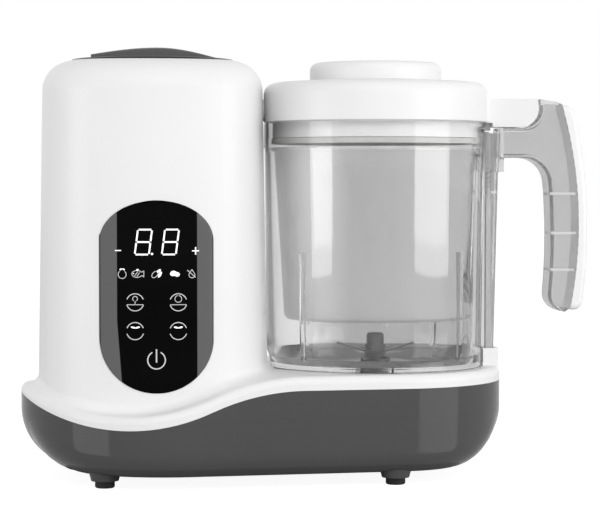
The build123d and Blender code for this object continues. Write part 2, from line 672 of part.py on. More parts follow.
nozzle_back = side_of_tower(steam_nozzle_z) - wall
with BuildPart() as steam_nozzle:
    with BuildSketch(Plane.YZ.offset(nozzle_back - 2 * boiler_wall)):
        with Locations((0, steam_nozzle_z)):
            Circle(steam_tube_r)
    extrude(amount=2 * boiler_wall)
    with BuildSketch(Plane.YZ.offset(nozzle_back - boiler_wall)):
        with Locations((0, steam_nozzle_z)):
            Circle(nozzle_flange_r)
    extrude(amount=boiler_wall - nozzle_play)
    with BuildSketch(Plane.YZ.offset(nozzle_back - boiler_wall)):
        with Locations((0, steam_nozzle_z)):
            Circle(nozzle_r)
    extrude(amount=boiler_wall + wall + nozzle_proud)
    with BuildSketch(Plane.YZ.offset(nozzle_back - 2 * boiler_wall)):
        with Locations((0, steam_nozzle_z)):
            Circle(steam_bore_r)
    extrude(amount=boiler_wall * 2 + wall * 2, mode=Mode.SUBTRACT)
finish(steam_nozzle, "steam_nozzle")

with BuildPart() as steam_pipe:
    pipe_start = outlet_x + boiler_wall * 1.5
    pipe_end = nozzle_back - 2 * boiler_wall
    pipe_mid = (pipe_start + pipe_end) / 2
    with BuildLine() as pipe_route:
        FilletPolyline((pipe_start, 0, steam_outlet_z), (pipe_mid, 0, steam_outlet_z),
                       (pipe_mid, 0, steam_nozzle_z), (pipe_end, 0, steam_nozzle_z),
                       radius=(pipe_end - pipe_start) * 0.45)
    with BuildSketch(Plane.YZ.offset(pipe_start)):
        with Locations((0, steam_outlet_z)):
            Circle(steam_tube_r)
            Circle(steam_bore_r, mode=Mode.SUBTRACT)
    sweep(path=pipe_route.wires()[0])
finish(steam_pipe, "steam_pipe")

with BuildPart() as thermostat:
    add(ring(tower_x, nozzle_flange_r, 0, boiler_low - nozzle_r, boiler_low))
    with Locations((tower_x - nozzle_flange_r / 2, 0, boiler_low - nozzle_r),
                   (tower_x + nozzle_flange_r / 2, 0, boiler_low - nozzle_r)):
        Box(board_t / 2, nozzle_r, nozzle_flange_r, align=(Align.CENTER, Align.CENTER, Align.MAX))
finish(thermostat, "thermostat")

with BuildPart() as thermal_fuse:
    with BuildSketch(Plane.YZ.offset(tower_x - nozzle_flange_r)):
        with Locations((nozzle_flange_r + 2 * spring_r, boiler_low - spring_r)):
            Circle(spring_r)
    extrude(amount=2 * nozzle_flange_r)
finish(thermal_fuse, "thermal_fuse")

with BuildPart() as power_board:
    board_mid_x = sum(x for x, y in board_posts) / len(board_posts)
    board_len = board_posts[2][0] - board_posts[0][0] + 4 * screw_head_r
    board_deep = board_posts[1][1] - board_posts[0][1] + 4 * screw_head_r
    board_up = power_board_low + power_board_t
    with BuildSketch(Plane.XY.offset(power_board_low)):
        with Locations((board_mid_x, 0)):
            RectangleRounded(board_len, board_deep, screw_head_r)
        with Locations(*board_posts):
            Circle(screw_r, mode=Mode.SUBTRACT)
    extrude(amount=power_board_t)
    # Relay, transformer, smoothing capacitors and the heater triac with its heat sink.
    with Locations((board_mid_x - board_len / 4, -board_deep / 4, board_up)):
        Box(*relay_size, align=(Align.CENTER, Align.CENTER, Align.MIN))
    with Locations((board_mid_x + board_len / 5, -board_deep / 5, board_up)):
        Box(*transformer_size, align=(Align.CENTER, Align.CENTER, Align.MIN))
    with Locations((board_mid_x - board_len / 4, board_deep / 5, board_up),
                   (board_mid_x - board_len / 12, board_deep / 4, board_up)):
        Cylinder(capacitor_r, capacitor_h, align=(Align.CENTER, Align.CENTER, Align.MIN))
    with Locations((board_mid_x + board_len / 4, board_deep / 4, board_up)):
        Box(sink_w, board_t * 2, sink_h, align=(Align.CENTER, Align.CENTER, Align.MIN))
finish(power_board, "power_board")

# =====================================================================================
# Motor, fan and drive coupling
# =====================================================================================

with BuildPart() as motor_can:
    add(ring(jug_x, motor_r, 0, motor_low, motor_top))
    add(ring(jug_x, motor_r - motor_wall, 0, motor_low + motor_wall, motor_top - motor_wall),
        mode=Mode.SUBTRACT)
    add(ring(jug_x, bearing_r + bore_play, 0, motor_low, motor_top), mode=Mode.SUBTRACT)
finish(motor_can, "motor_can")

with BuildPart() as motor_magnets:
    magnet_out = motor_r - motor_wall - bore_play
    with BuildSketch(Plane.XY.offset(motor_low + 2 * motor_wall)):
        for middle in (0, full_turn / 2):
            start = middle - magnet_swing / 2
            with BuildLine():
                outer = CenterArc((jug_x, 0), magnet_out, start, magnet_swing)
                inner = CenterArc((jug_x, 0), magnet_out - magnet_t, start, magnet_swing)
                Line(outer @ 0, inner @ 0)
                Line(outer @ 1, inner @ 1)
            make_face()
    extrude(amount=motor_top - motor_low - 4 * motor_wall)
finish(motor_magnets, "motor_magnets")

with BuildPart() as motor_bearings:
    for low in (motor_low - motor_wall / 2, motor_top + motor_wall / 2 - bearing_t):
        add(ring(jug_x, bearing_r, motor_shaft_r + bore_play, low, low + bearing_t))
finish(motor_bearings, "motor_bearings")

with BuildPart() as motor_bracket:
    with BuildSketch(Plane.XY.offset(motor_top)):
        with Locations((jug_x, 0)):
            Circle(bracket_r)
            with PolarLocations(0, dampers // 2, start_angle=full_turn / dampers / 2,
                                angular_range=full_turn / 2):
                SlotCenterToCenter(2 * damper_pitch_r, 2 * damper_r)
            Circle(bearing_r + wall, mode=Mode.SUBTRACT)
        with Locations(*damper_places):
            Circle(motor_screw_r + bore_play, mode=Mode.SUBTRACT)
    extrude(amount=bracket_t)
finish(motor_bracket, "motor_bracket")

with BuildPart() as motor_dampers:
    with BuildSketch(Plane.XY.offset(damper_seat)):
        with Locations(*damper_places):
            Circle(damper_r)
            Circle(motor_screw_r + bore_play, mode=Mode.SUBTRACT)
    extrude(amount=damper_h)
finish(motor_dampers, "motor_dampers")

with BuildPart() as motor_screws:
    with Locations(*[(x, y, bracket_top) for x, y in damper_places]):
        Cylinder(screw_head_r, screw_head_h, align=(Align.CENTER, Align.CENTER, Align.MIN))
        Cylinder(motor_screw_r, bracket_t + damper_h + boss_r, align=(Align.CENTER, Align.CENTER, Align.MAX))
finish(motor_screws, "motor_screws")

rotor_r = magnet_out - magnet_t - rotor_gap
with BuildPart() as motor_rotor:
    with BuildSketch(Plane.XY.offset(motor_low + bearing_t + motor_wall)):
        with Locations((jug_x, 0)):
            Circle(rotor_r)
            # Winding slots between the laminated teeth.
            with PolarLocations(rotor_r - motor_wall * 2, rotor_slots):
                Rectangle(motor_wall * 5, motor_wall, mode=Mode.SUBTRACT)
            Circle(motor_shaft_r + bore_play, mode=Mode.SUBTRACT)
    extrude(amount=motor_top - motor_low - 2 * bearing_t - 2 * motor_wall)
finish(motor_rotor, "motor_rotor")

coupler_top = jug_floor_low - bush_seal_t - bush_flange_t - stand_off
drive_top = coupler_top - coupler_web - stand_off
fan_low = bracket_top + fan_gap
coupler_low = well_floor - coupler_disc_t

with BuildPart() as motor_shaft:
    add(ring(jug_x, motor_shaft_r, 0, motor_low - motor_wall, drive_top - coupler_web))
finish(motor_shaft, "motor_shaft")

with BuildPart() as cooling_fan:
    add(ring(jug_x, fan_hub_r, 0, fan_low, fan_low + fan_t))
    add(ring(jug_x, fan_r, 0, fan_low, fan_low + fan_t / 4))
    with BuildSketch(Plane.XY.offset(fan_low)):
        with Locations((jug_x, 0)):
            with PolarLocations((fan_r + fan_hub_r) / 2 - motor_wall, fan_blades):
                Rectangle(fan_r - fan_hub_r, motor_wall / 2)
    extrude(amount=fan_t)
    add(ring(jug_x, motor_shaft_r + bore_play, 0, fan_low, fan_low + fan_t), mode=Mode.SUBTRACT)
finish(cooling_fan, "cooling_fan")


def coupling_teeth(inner_r, outer_r, start):
    """The coupling's teeth between two radii, as a flat sketch about the jug's axis."""
    with BuildSketch() as teeth:
        for tooth in range(coupler_teeth):
            edge = start + tooth * full_turn / coupler_teeth - coupler_tooth_swing / 2
            with BuildLine():
                outer = CenterArc((jug_x, 0), outer_r, edge, coupler_tooth_swing)
                inner = CenterArc((jug_x, 0), inner_r, edge, coupler_tooth_swing)
                Line(outer @ 0, inner @ 0)
                Line(outer @ 1, inner @ 1)
            make_face()
    return teeth.sketch


drive_teeth = coupling_teeth(coupler_hub_r - motor_wall, coupler_tooth_r, 0)
jug_teeth = coupling_teeth(coupler_hub_r + 2 * stand_off, jug_coupler_r - motor_wall,
                           full_turn / coupler_teeth / 2)

with BuildPart() as drive_coupler:
    add(ring(jug_x, coupler_disc_r, 0, coupler_low, well_floor))
    add(ring(jug_x, coupler_hub_r, 0, well_floor, drive_top))
    with BuildSketch(Plane.XY.offset(well_floor)):
        add(drive_teeth)
    extrude(amount=drive_top - well_floor)
    add(ring(jug_x, motor_shaft_r + bore_play, 0, coupler_low, drive_top - coupler_web), mode=Mode.SUBTRACT)
finish(drive_coupler, "drive_coupler")

with BuildPart() as jug_coupler:
    add(ring(jug_x, jug_coupler_r, coupler_bore_r, jug_coupler_low, coupler_top))
    with BuildSketch(Plane.XY.offset(jug_coupler_low)):
        add(jug_teeth)
    extrude(amount=coupler_top - jug_coupler_low)
    add(ring(jug_x, coupler_bore_r, 0, coupler_top - coupler_web, coupler_top))
    add(ring(jug_x, shaft_r + bore_play, 0, jug_coupler_low, coupler_top), mode=Mode.SUBTRACT)
finish(jug_coupler, "jug_coupler")

# =====================================================================================
# Jug
# =====================================================================================

jug_foot_z = well_floor + stand_off
spine_lean = (spine_high_r - spine_low_r) / (spine_top - spine_foot)
rod_x = jug_x + rod_r
channel_in_r = rod_r - rod_collar_r - rod_play / 2


def spine_r(z, inset=0):
    """Distance of the spine's outer face from the jug's axis, at a height."""
    return spine_low_r - inset + (z - spine_foot) * spine_lean


def spine_block(inner_r, inset, width, low, high, edge_r=0):
    """The jug's spine: a leaning bar along +X between two heights."""
    with BuildPart() as block:
        with BuildSketch(Plane.XZ):
            with BuildLine():
                Polyline((jug_x + inner_r, low), (jug_x + spine_r(low, inset), low),
                         (jug_x + spine_r(high, inset), high), (jug_x + inner_r, high), close=True)
            make_face()
        extrude(amount=width / 2, both=True)
        if edge_r:
            outer_face = block.faces().sort_by(Axis.X)[-1]
            fillet(outer_face.edges().filter_by(lambda e: abs((e % 0.5).Z) > 0.9), edge_r)
    return block.part


jug_outside = turned(jug_x, [(0, jug_foot_z), (jug_foot_r, jug_foot_z), (jug_foot_r, jug_floor_low),
                             (jug_waist_r, jug_band_low), (jug_rim_r, jug_band_low),
                             (jug_rim_r, jug_rim_top), (0, jug_rim_top)])
jug_inside = turned(jug_x, [(0, jug_floor_top), (jug_bore_low_r - jug_corner_r, jug_floor_top),
                            (jug_bore_low_r, jug_floor_top + jug_corner_r),
                            (jug_bore_high_r, basket_seat), (jug_mouth_r, basket_seat),
                            (jug_mouth_r, jug_rim_top), (0, jug_rim_top)])
stem_bore = rod_stem_r + rod_play
ledge_high = spring_low
ledge_low = spring_low - spring_ledge_t
strip_top = ledge_low - rod_stroke - stand_off

with BuildPart() as channel:
    add(spine_block(channel_in_r, spine_wall, rod_w + 2 * rod_play, spine_foot, spine_top))
    with Locations((rod_x, 0, ledge_low)):
        Box(deck_rise * 2, spine_w, spring_ledge_t, align=(Align.CENTER, Align.CENTER, Align.MIN),
            mode=Mode.SUBTRACT)
        Cylinder(stem_bore, spring_ledge_t, align=(Align.CENTER, Align.CENTER, Align.MIN))

# Mixing ribs stand in from the wall: the bore is cut round them.
with BuildPart() as bore:
    add(jug_inside)
    with BuildSketch(Plane.XY.offset(jug_floor_top)):
        with Locations((jug_x, 0)):
            with PolarLocations(jug_bore_high_r, ribs, start_angle=full_turn / ribs / 2):
                Rectangle(2 * (jug_bore_high_r - rib_in_r), rib_w)
    extrude(amount=rib_top - jug_floor_top, mode=Mode.SUBTRACT)

with BuildPart() as jug_cup:
    add(jug_outside)
    add(spine_block(jug_bore_high_r, 0, spine_w, spine_foot, spine_top, spine_edge_r))
    add(bore.part, mode=Mode.SUBTRACT)
    add(ring(jug_x, jug_foot_r - jug_skirt_t, 0, jug_foot_z, jug_floor_low), mode=Mode.SUBTRACT)
    add(ring(jug_x, bush_r + bore_play, 0, jug_floor_low, jug_floor_top), mode=Mode.SUBTRACT)
    add(channel.part, mode=Mode.SUBTRACT)
finish(jug_cup, "jug_cup")

bush_low = jug_floor_low - bush_seal_t - bush_flange_t
with BuildPart() as blade_bush:
    add(ring(jug_x, bush_flange_r, 0, bush_low, bush_low + bush_flange_t))
    add(ring(jug_x, bush_r, 0, bush_low, bush_top))
    add(ring(jug_x, shaft_r + bore_play, 0, bush_low, bush_top), mode=Mode.SUBTRACT)
finish(blade_bush, "blade_bush")

with BuildPart() as bush_seal:
    add(ring(jug_x, bush_flange_r, bush_r + bore_play, jug_floor_low - bush_seal_t, jug_floor_low))
finish(bush_seal, "bush_seal")

with BuildPart() as pushrod:
    with BuildSketch(Plane.XY.offset(rod_low)):
        with Locations((rod_x, 0)):
            Rectangle(rod_t, rod_w)
    extrude(amount=strip_top - rod_low)
    add(ring(rod_x, rod_stem_r, 0, strip_top, rod_top))
    add(ring(rod_x, rod_collar_r, 0, spring_low + spring_h, spring_low + spring_h + rod_collar_t))
finish(pushrod, "pushrod")

with BuildPart() as pushrod_spring:
    coil_r = rod_stem_r + spring_play + spring_wire / 2
    with BuildLine() as coil:
        Helix(pitch=(spring_h - spring_wire) / spring_turns, height=spring_h - spring_wire, radius=coil_r,
              center=(rod_x, 0, spring_low + spring_wire / 2))
    with BuildSketch(Plane(coil.wires()[0] @ 0, z_dir=coil.wires()[0] % 0)):
        RegularPolygon(spring_wire / 2, 6)
    sweep(path=coil.wires()[0], is_frenet=True)
finish(pushrod_spring, "pushrod_spring")

# =====================================================================================
# Handle
# =====================================================================================

grip_mid_z = (grip_inner_low + grip_inner_high) / 2
grip_lean = 2 * math.degrees(math.atan2(2 * grip_inner_bow, grip_inner_high - grip_inner_low))
toe_r = (grip_inner_low - grip_foot_z) / (1 + math.sin(math.radians(grip_lean)))
knuckle_r = (arm_low - grip_inner_high) / (1 - math.sin(math.radians(grip_lean)))
arm_root_x = jug_x + spine_r(arm_root_low)
grip_head = (grip_head_x, grip_head_z)
grip_belly = (grip_outer_x, grip_outer_z)
grip_heel = (grip_heel_x, grip_heel_z)

with BuildPart() as handle_form:
    with BuildSketch(Plane.XZ) as handle_side:
        with BuildLine():
            floor_line = Line((arm_root_x, arm_top), (notch_x, arm_top))
            bend = JernArc(floor_line @ 1, (1, 0), notch_r, notch_swing)
            rise = PolarLine(bend @ 1, arm_crest - (bend @ 1).Y, angle=notch_swing,
                             length_mode=LengthMode.VERTICAL)
            crest_end = (grip_head_x - 2 * handle_wall, arm_crest - handle_wall / 2)
            crest = Line(rise @ 1, crest_end)
            crown = TangentArc(crest_end, grip_head, tangent=crest % 1)
            ThreePointArc(grip_head, grip_belly, grip_heel)
            front = ThreePointArc((grip_inner_x, grip_inner_low), (grip_inner_x + grip_inner_bow, grip_mid_z),
                                  (grip_inner_x, grip_inner_high))
            toe = JernArc(front @ 0, (front % 0) * -1, toe_r, 90 + grip_lean)
            Line(toe @ 1, grip_heel)
            knuckle = JernArc(front @ 1, front % 1, knuckle_r, 90 - grip_lean)
            under = Line(knuckle @ 1, (arm_root_x + handle_edge_r, arm_low))
            armpit = TangentArc(under @ 1, (arm_root_x, arm_low - handle_edge_r), tangent=(-1, 0))
            Line(armpit @ 1, (arm_root_x, arm_top))
        make_face()
    extrude(amount=handle_w / 2, both=True)
    sides = handle_form.faces().filter_by(Axis.Y)
    finger_side = sides.edges().filter_by(lambda e: (e @ 0.5).Z < arm_low + bore_play)
    back_edge_x = grip_outer_x - handle_edge_r
    fillet(finger_side.filter_by(lambda e: (e @ 0.5).X < back_edge_x), handle_edge_r)
    notch_end_x = notch_x + notch_r + handle_wall
    sides = handle_form.faces().filter_by(Axis.Y)
    top_side = sides.edges().filter_by(lambda e: (e @ 0.5).Z > arm_top - bore_play)
    fillet(top_side.filter_by(lambda e: (e @ 0.5).X < notch_end_x), notch_edge_r)
    # Hollow, and open on the outer side, which the cover closes.
    with BuildSketch(Plane.XZ):
        with BuildSketch(Plane.XZ, mode=Mode.PRIVATE) as handle_core:
            add(handle_side.sketch)
            offset(amount=-handle_wall)
        with Locations((0, 0), (handle_wall, 0), (2 * handle_wall, 0)):
            add(handle_core.sketch)
    extrude(amount=handle_w / 2 - handle_wall, both=True, mode=Mode.SUBTRACT)

with BuildPart() as grip_ribs:
    with BuildSketch(Plane.XZ):
        add(handle_side.sketch)
        offset(amount=-handle_wall / 2)
    extrude(amount=handle_w / 2 - handle_wall / 2, both=True)
    with BuildSketch(Plane.XZ):
        with Locations(*[(grip_outer_x, z) for z in handle_ribs]):
            Rectangle(2 * handle_w, handle_rib_t)
    extrude(amount=handle_w, both=True, mode=Mode.INTERSECT)

with BuildPart() as jug_handle:
    add(handle_form.part)
    add(grip_ribs.part)
    # Bracket that grips the spine.
    bracket_half = spine_w / 2 + panel_play + handle_wall
    with BuildSketch(Plane.XY.offset(arm_root_low)):
        with Locations((arm_root_x + handle_wall - bracket_len / 2, 0)):
            Rectangle(bracket_len, 2 * bracket_half)
    extrude(amount=spine_top - arm_root_low)
    add(spine_block(jug_bore_high_r, -panel_play, spine_w + 2 * panel_play, spine_foot, jug_rim_top,
                    spine_edge_r + panel_play), mode=Mode.SUBTRACT)
    add(ring(jug_x, jug_rim_r + panel_play, 0, arm_root_low, jug_rim_top), mode=Mode.SUBTRACT)
finish(jug_handle, "jug_handle")

with BuildPart() as handle_cover:
    with BuildSketch(Plane.XZ) as cover_side:
        with BuildLine():
            ThreePointArc(grip_head, grip_belly, grip_heel)
            outer_line = ThreePointArc((cover_heel_x, cover_heel_z), (cover_outer_x, grip_outer_z),
                                       (cover_head_x, cover_head_z))
            TangentArc(outer_line @ 1, grip_head, tangent=outer_line % 1)
            TangentArc(outer_line @ 0, grip_heel, tangent=(outer_line % 0) * -1)
        make_face()
    extrude(amount=handle_w / 2, both=True)
    side_edges = handle_cover.faces().filter_by(Axis.Y).edges()
    fillet(side_edges.filter_by(lambda e: (e @ 0.5).X > grip_outer_x), cover_edge_r)
finish(handle_cover, "handle_cover")

# =====================================================================================
# Blades
# =====================================================================================

upper_blade_z = lower_blade_z + blade_t


def blade_plan(turn):
    """Outline of a two-armed blade with a raked cutting edge, as a sketch about the jug's axis."""
    with BuildSketch() as plan:
        with Locations(Location((jug_x, 0), turn)):
            with BuildSketch(mode=Mode.PRIVATE) as arm:
                with BuildLine():
                    root = Line((0, -blade_w / 2), (0, blade_w / 2))
                    back = Spline((0, blade_w / 2), (blade_reach * 0.6, blade_w * 0.42),
                                  (blade_reach, blade_w * 0.1))
                    Line(back @ 1, (blade_reach * 0.94, -blade_w * 0.12))
                    Line((blade_reach * 0.94, -blade_w * 0.12), root @ 0)
                make_face()
            add(arm.sketch)
            add(arm.sketch, rotation=180)
            Circle(blade_w / 2)
            Circle(shaft_r + bore_play, mode=Mode.SUBTRACT)
    return plan.sketch


lower_plan = blade_plan(lower_blade_turn)
upper_plan = blade_plan(upper_blade_turn)

with BuildPart() as lower_blades:
    with BuildSketch(Plane.XY.offset(lower_blade_z)):
        add(lower_plan)
    extrude(amount=blade_t)
finish(lower_blades, "lower_blades")

with BuildPart() as blade_bend:
    with BuildSketch(Plane.XZ) as side:
        with BuildLine():
            Polyline((jug_x - blade_reach, upper_blade_z + blade_w * 0.6),
                     (jug_x - hub_r - blade_t, upper_blade_z),
                     (jug_x + hub_r + blade_t, upper_blade_z),
                     (jug_x + blade_reach, upper_blade_z + blade_w * 0.6),
                     (jug_x + blade_reach, upper_blade_z + blade_w * 0.6 + blade_t),
                     (jug_x + hub_r + blade_t, upper_blade_z + blade_t),
                     (jug_x - hub_r - blade_t, upper_blade_z + blade_t),
                     (jug_x - blade_reach, upper_blade_z + blade_w * 0.6 + blade_t), close=True)
        make_face()
    extrude(amount=blade_reach, both=True)

with BuildPart() as upper_blades:
    with BuildSketch(Plane.XY.offset(upper_blade_z)):
        add(upper_plan)
    extrude(amount=blade_w)
    add(blade_bend.part, mode=Mode.INTERSECT)
finish(upper_blades, "upper_blades")

with BuildPart() as blade_shaft:
    add(ring(jug_x, shaft_r, 0, coupler_top - coupler_web, upper_blade_z + blade_t + hub_r))
finish(blade_shaft, "blade_shaft")

with BuildPart() as blade_hub:
    with BuildSketch(Plane.XY.offset(upper_blade_z + blade_t)):
        with Locations((jug_x, 0)):
            RegularPolygon(hub_r, 6)
    extrude(amount=blade_t * 4)
    add(ring(jug_x, hub_cap_r, 0, upper_blade_z + blade_t, hub_top))
    fillet(blade_hub.faces().sort_by(Axis.Z)[-1].edges(), hub_r / 3)
    add(ring(jug_x, shaft_r + bore_play, 0, upper_blade_z, upper_blade_z + blade_t + hub_r),
        mode=Mode.SUBTRACT)
finish(blade_hub, "blade_hub")

# =====================================================================================
# Steaming basket
# =====================================================================================

basket_rim_low = basket_seat + stand_off
basket_rim_high = basket_rim_low + basket_rim_t
basket_rim_r = jug_mouth_r - stand_off

with BuildPart() as steam_basket:
    add(turned(jug_x, [(0, basket_low), (basket_low_r - basket_t, basket_low),
                       (basket_low_r, basket_low + basket_t), (basket_top_r, basket_rim_low),
                       (basket_rim_r, basket_rim_low), (basket_rim_r, basket_rim_high),
                       (basket_top_r - basket_t, basket_rim_high),
                       (basket_low_r - basket_t, basket_low + 2 * basket_t),
                       (basket_low_r - 2 * basket_t, basket_low + basket_t),
                       (0, basket_low + basket_t)]))
    # Steam slots in rings across the floor, and the feet under it.
    with BuildSketch(Plane.XY.offset(basket_low)):
        with Locations((jug_x, 0)):
            for row, count in basket_rows:
                with PolarLocations(row, count):
                    Rectangle(basket_slot_len, basket_slot_w)
    extrude(amount=basket_t, mode=Mode.SUBTRACT)
    with BuildSketch(Plane.XY.offset(basket_low - basket_foot_h)):
        with Locations((jug_x, 0)):
            with PolarLocations(basket_low_r - 2 * basket_foot_h, basket_feet,
                                start_angle=full_turn / basket_feet / 2):
                Circle(basket_foot_h)
    extrude(amount=basket_foot_h)
finish(steam_basket, "steam_basket")

# =====================================================================================
# Lid
# =====================================================================================

lid_roof = lid_top - lid_wall
notch_mid_z = arm_top + notch_r
tab_bend_r = notch_mid_z - tab_low
hub_open_r = dome_r - lid_shoulder_r

with BuildPart() as lid_cap_form:
    with BuildSketch(Plane((jug_x, 0, 0), x_dir=(1, 0, 0), z_dir=(0, -1, 0))):
        with BuildLine():
            skirt = Line((0, lid_low), (lid_r, lid_low))
            side = Line(skirt @ 1, (lid_r, lid_top - lid_shoulder_r - lid_wall / 2))
            shoulder = JernArc(side @ 1, (0, 1), lid_shoulder_r, lid_shoulder_swing)
            Polyline(shoulder @ 1, (dome_r, lid_top), (0, lid_top), (0, lid_low))
        make_face()
    revolve(axis=jug_axis)

with BuildPart() as lid_lobe:
    with BuildSketch(Plane.XY.offset(lid_low)):
        with Locations((jug_x, 0)):
            Circle(lobe_reach - jug_x)
            with Locations((lid_r, 0)):
                Rectangle(lid_r, lobe_w, mode=Mode.INTERSECT)
    extrude(amount=lobe_top - lid_low)
    outer_wall = lid_lobe.faces().sort_by(Axis.X)[-1]
    fillet(shared_edges(lid_lobe.faces().sort_by(Axis.Z)[-1:], ShapeList([outer_wall])), lobe_edge_r)

with BuildPart() as lid_tab:
    with BuildSketch(Plane.XZ) as tab_side:
        with BuildLine():
            low_line = Line((jug_x + lid_r + lid_shoulder_r / 2, tab_low), (notch_x, tab_low))
            tab_bend = JernArc(low_line @ 1, (1, 0), tab_bend_r, notch_swing)
            tab_tip = PolarLine(tab_bend @ 1, tab_top - (tab_bend @ 1).Y, angle=notch_swing,
                                length_mode=LengthMode.VERTICAL)
            Polyline(tab_tip @ 1, (jug_x + lid_r - lid_wall / 2, tab_top),
                     (jug_x + lid_r - lid_wall / 2, lid_low), ((low_line @ 0).X, lid_low), low_line @ 0)
        make_face()
    extrude(amount=tab_w / 2, both=True)
    fillet(lid_tab.edges().filter_by(Axis.Y).sort_by(Axis.X)[-2:-1], lid_wall / 2)
    # Round the tip about the turning axis, so that it clears the notch wall all the way.
    revolve(tab_side.sketch, axis=Axis((jug_x, 0, 0), (0, 0, 1)), mode=Mode.INTERSECT)

with BuildPart() as lid_shell:
    add(lid_cap_form.part)
    add(lid_lobe.part)
    add(lid_tab.part)
    add(turned(jug_x, [(0, lid_low), (lid_r - lid_wall, lid_low),
                       (lid_r - lid_wall, lid_roof - lid_shoulder_r),
                       (lid_r - lid_shoulder_r, lid_roof), (0, lid_roof)]), mode=Mode.SUBTRACT)
    add(ring(jug_x, lid_r - lid_wall / 2, lid_plug_r - lid_wall, lid_low, lid_low + lid_wall))
    add(ring(jug_x, lid_plug_r, lid_plug_r - lid_wall, lid_plug_low, lid_low + lid_wall))
    add(ring(jug_x, hub_open_r, 0, lid_roof, lid_top), mode=Mode.SUBTRACT)
    # Finger that holds the push rod down.
    with BuildSketch(Plane.XY.offset(rod_top + cam_gap)):
        with Locations((rod_x, 0)):
            Rectangle(rod_t, cam_w)
    extrude(amount=lid_low - rod_top - cam_gap + lid_wall)
    # Steam inlet on the tower side.
    with BuildSketch(Plane.YZ.offset(jug_x - lid_r - lid_wall)):
        with Locations((0, steam_nozzle_z)):
            Circle(nozzle_r - wall / 2)
    extrude(amount=3 * lid_wall, mode=Mode.SUBTRACT)
finish(lid_shell, "lid_shell")

with BuildPart() as lid_dome:
    add(ring(jug_x, dome_r, 0, lid_top, dome_top))
    fillet(lid_dome.faces().sort_by(Axis.Z)[-1].edges(), dome_edge_r)
    add(ring(jug_x, hub_open_r - bore_play, 0, lid_roof - lid_wall, lid_top))
    add(ring(jug_x, hub_open_r - lid_wall, 0, lid_roof - lid_wall, dome_top - lid_wall), mode=Mode.SUBTRACT)
finish(lid_dome, "lid_dome")

with BuildPart() as lid_liner:
    add(ring(jug_x, lid_plug_r - lid_wall - bore_play, 0, liner_z, liner_z + liner_t))
    with BuildSketch(Plane.XY.offset(liner_z)):
        with Locations((jug_x, 0)):
            with PolarLocations(dome_r, liner_slots):
                Rectangle(liner_slot_len, lid_wall)
    extrude(amount=liner_t, mode=Mode.SUBTRACT)
finish(lid_liner, "lid_liner")

with BuildPart() as lid_seal:
    add(ring(jug_x, jug_mouth_r - stand_off, lid_plug_r - 2 * lid_wall, seal_low, seal_high))
finish(lid_seal, "lid_seal")

# =====================================================================================
# Filler cap
# =====================================================================================

cap_low = tower_top + cap_gap
cap_rim = cap_low + cap_edge_t
seal_rest = neck_seat_top + stand_off
stem_low = seal_rest + cap_seal_t + stand_off
lug_high = bayonet_low - lug_gap

with BuildPart() as cap_seal:
    add(ring(tower_x, cap_seal_r, 0, seal_rest, seal_rest + cap_seal_t))
finish(cap_seal, "cap_seal")

with BuildPart() as cap_stem:
    add(ring(tower_x, stem_r, stem_r - stem_wall, stem_low, cap_low))
    with BuildSketch(Plane.XY.offset(lug_high - lug_t)):
        for lug in range(bayonet_lugs):
            start = lug * full_turn / bayonet_lugs - bayonet_swing / 2
            with BuildLine():
                outer = CenterArc((tower_x, 0), lug_r, start, bayonet_swing)
                inner = CenterArc((tower_x, 0), stem_r - stem_wall / 2, start, bayonet_swing)
                Line(outer @ 0, inner @ 0)
                Line(outer @ 1, inner @ 1)
            make_face()
    extrude(amount=lug_t)
finish(cap_stem, "cap_stem")

with BuildPart() as water_cap:
    with BuildSketch(Plane((tower_x, 0, 0), x_dir=(1, 0, 0), z_dir=(0, -1, 0))):
        with BuildLine():
            Polyline((0, cap_rim + cap_dome_h), (0, cap_low), (cap_r, cap_low), (cap_r, cap_rim))
            ThreePointArc((cap_r, cap_rim), (cap_r / 2, cap_rim + cap_dome_h * 0.8),
                          (0, cap_rim + cap_dome_h))
        make_face()
    revolve(axis=tower_axis)
    with BuildSketch(Plane.XZ):
        with BuildLine():
            left_end = (tower_x - grip_len / 2, cap_rim)
            right_end = (tower_x + grip_len / 2, cap_rim)
            rise = Line(left_end, (tower_x - grip_len / 2, cap_rim + grip_lead / 2))
            ThreePointArc(rise @ 1, (tower_x + grip_lead / 2, grip_top), right_end)
            Line(right_end, left_end)
        make_face()
    extrude(amount=grip_w / 2, both=True)
    fillet(water_cap.edges().filter_by(lambda e: abs(abs((e @ 0.5).Y) - grip_w / 2) < 0.01
                                       and (e @ 0.5).Z > cap_rim + grip_lead), grip_lead)
finish(water_cap, "water_cap")

# =====================================================================================
# Lid switch and cord entry
# =====================================================================================

with BuildPart() as safety_switch:
    with BuildSketch(Plane.XY.offset(switch_low)):
        with Locations((switch_x, 0)):
            Rectangle(switch_len, switch_w)
    extrude(amount=switch_h - plunger_r)
    with Locations((rod_x, 0, switch_top)):
        Cylinder(plunger_r, 2 * plunger_r, align=(Align.CENTER, Align.CENTER, Align.MAX))
finish(safety_switch, "safety_switch")

with BuildPart() as switch_plunger:
    add(ring(rod_x, plunger_r, 0, switch_top + stand_off, rod_low - stand_off))
    add(ring(rod_x, plunger_r + board_t / 2, 0, switch_top + stand_off, switch_top + rod_stroke))
finish(switch_plunger, "switch_plunger")

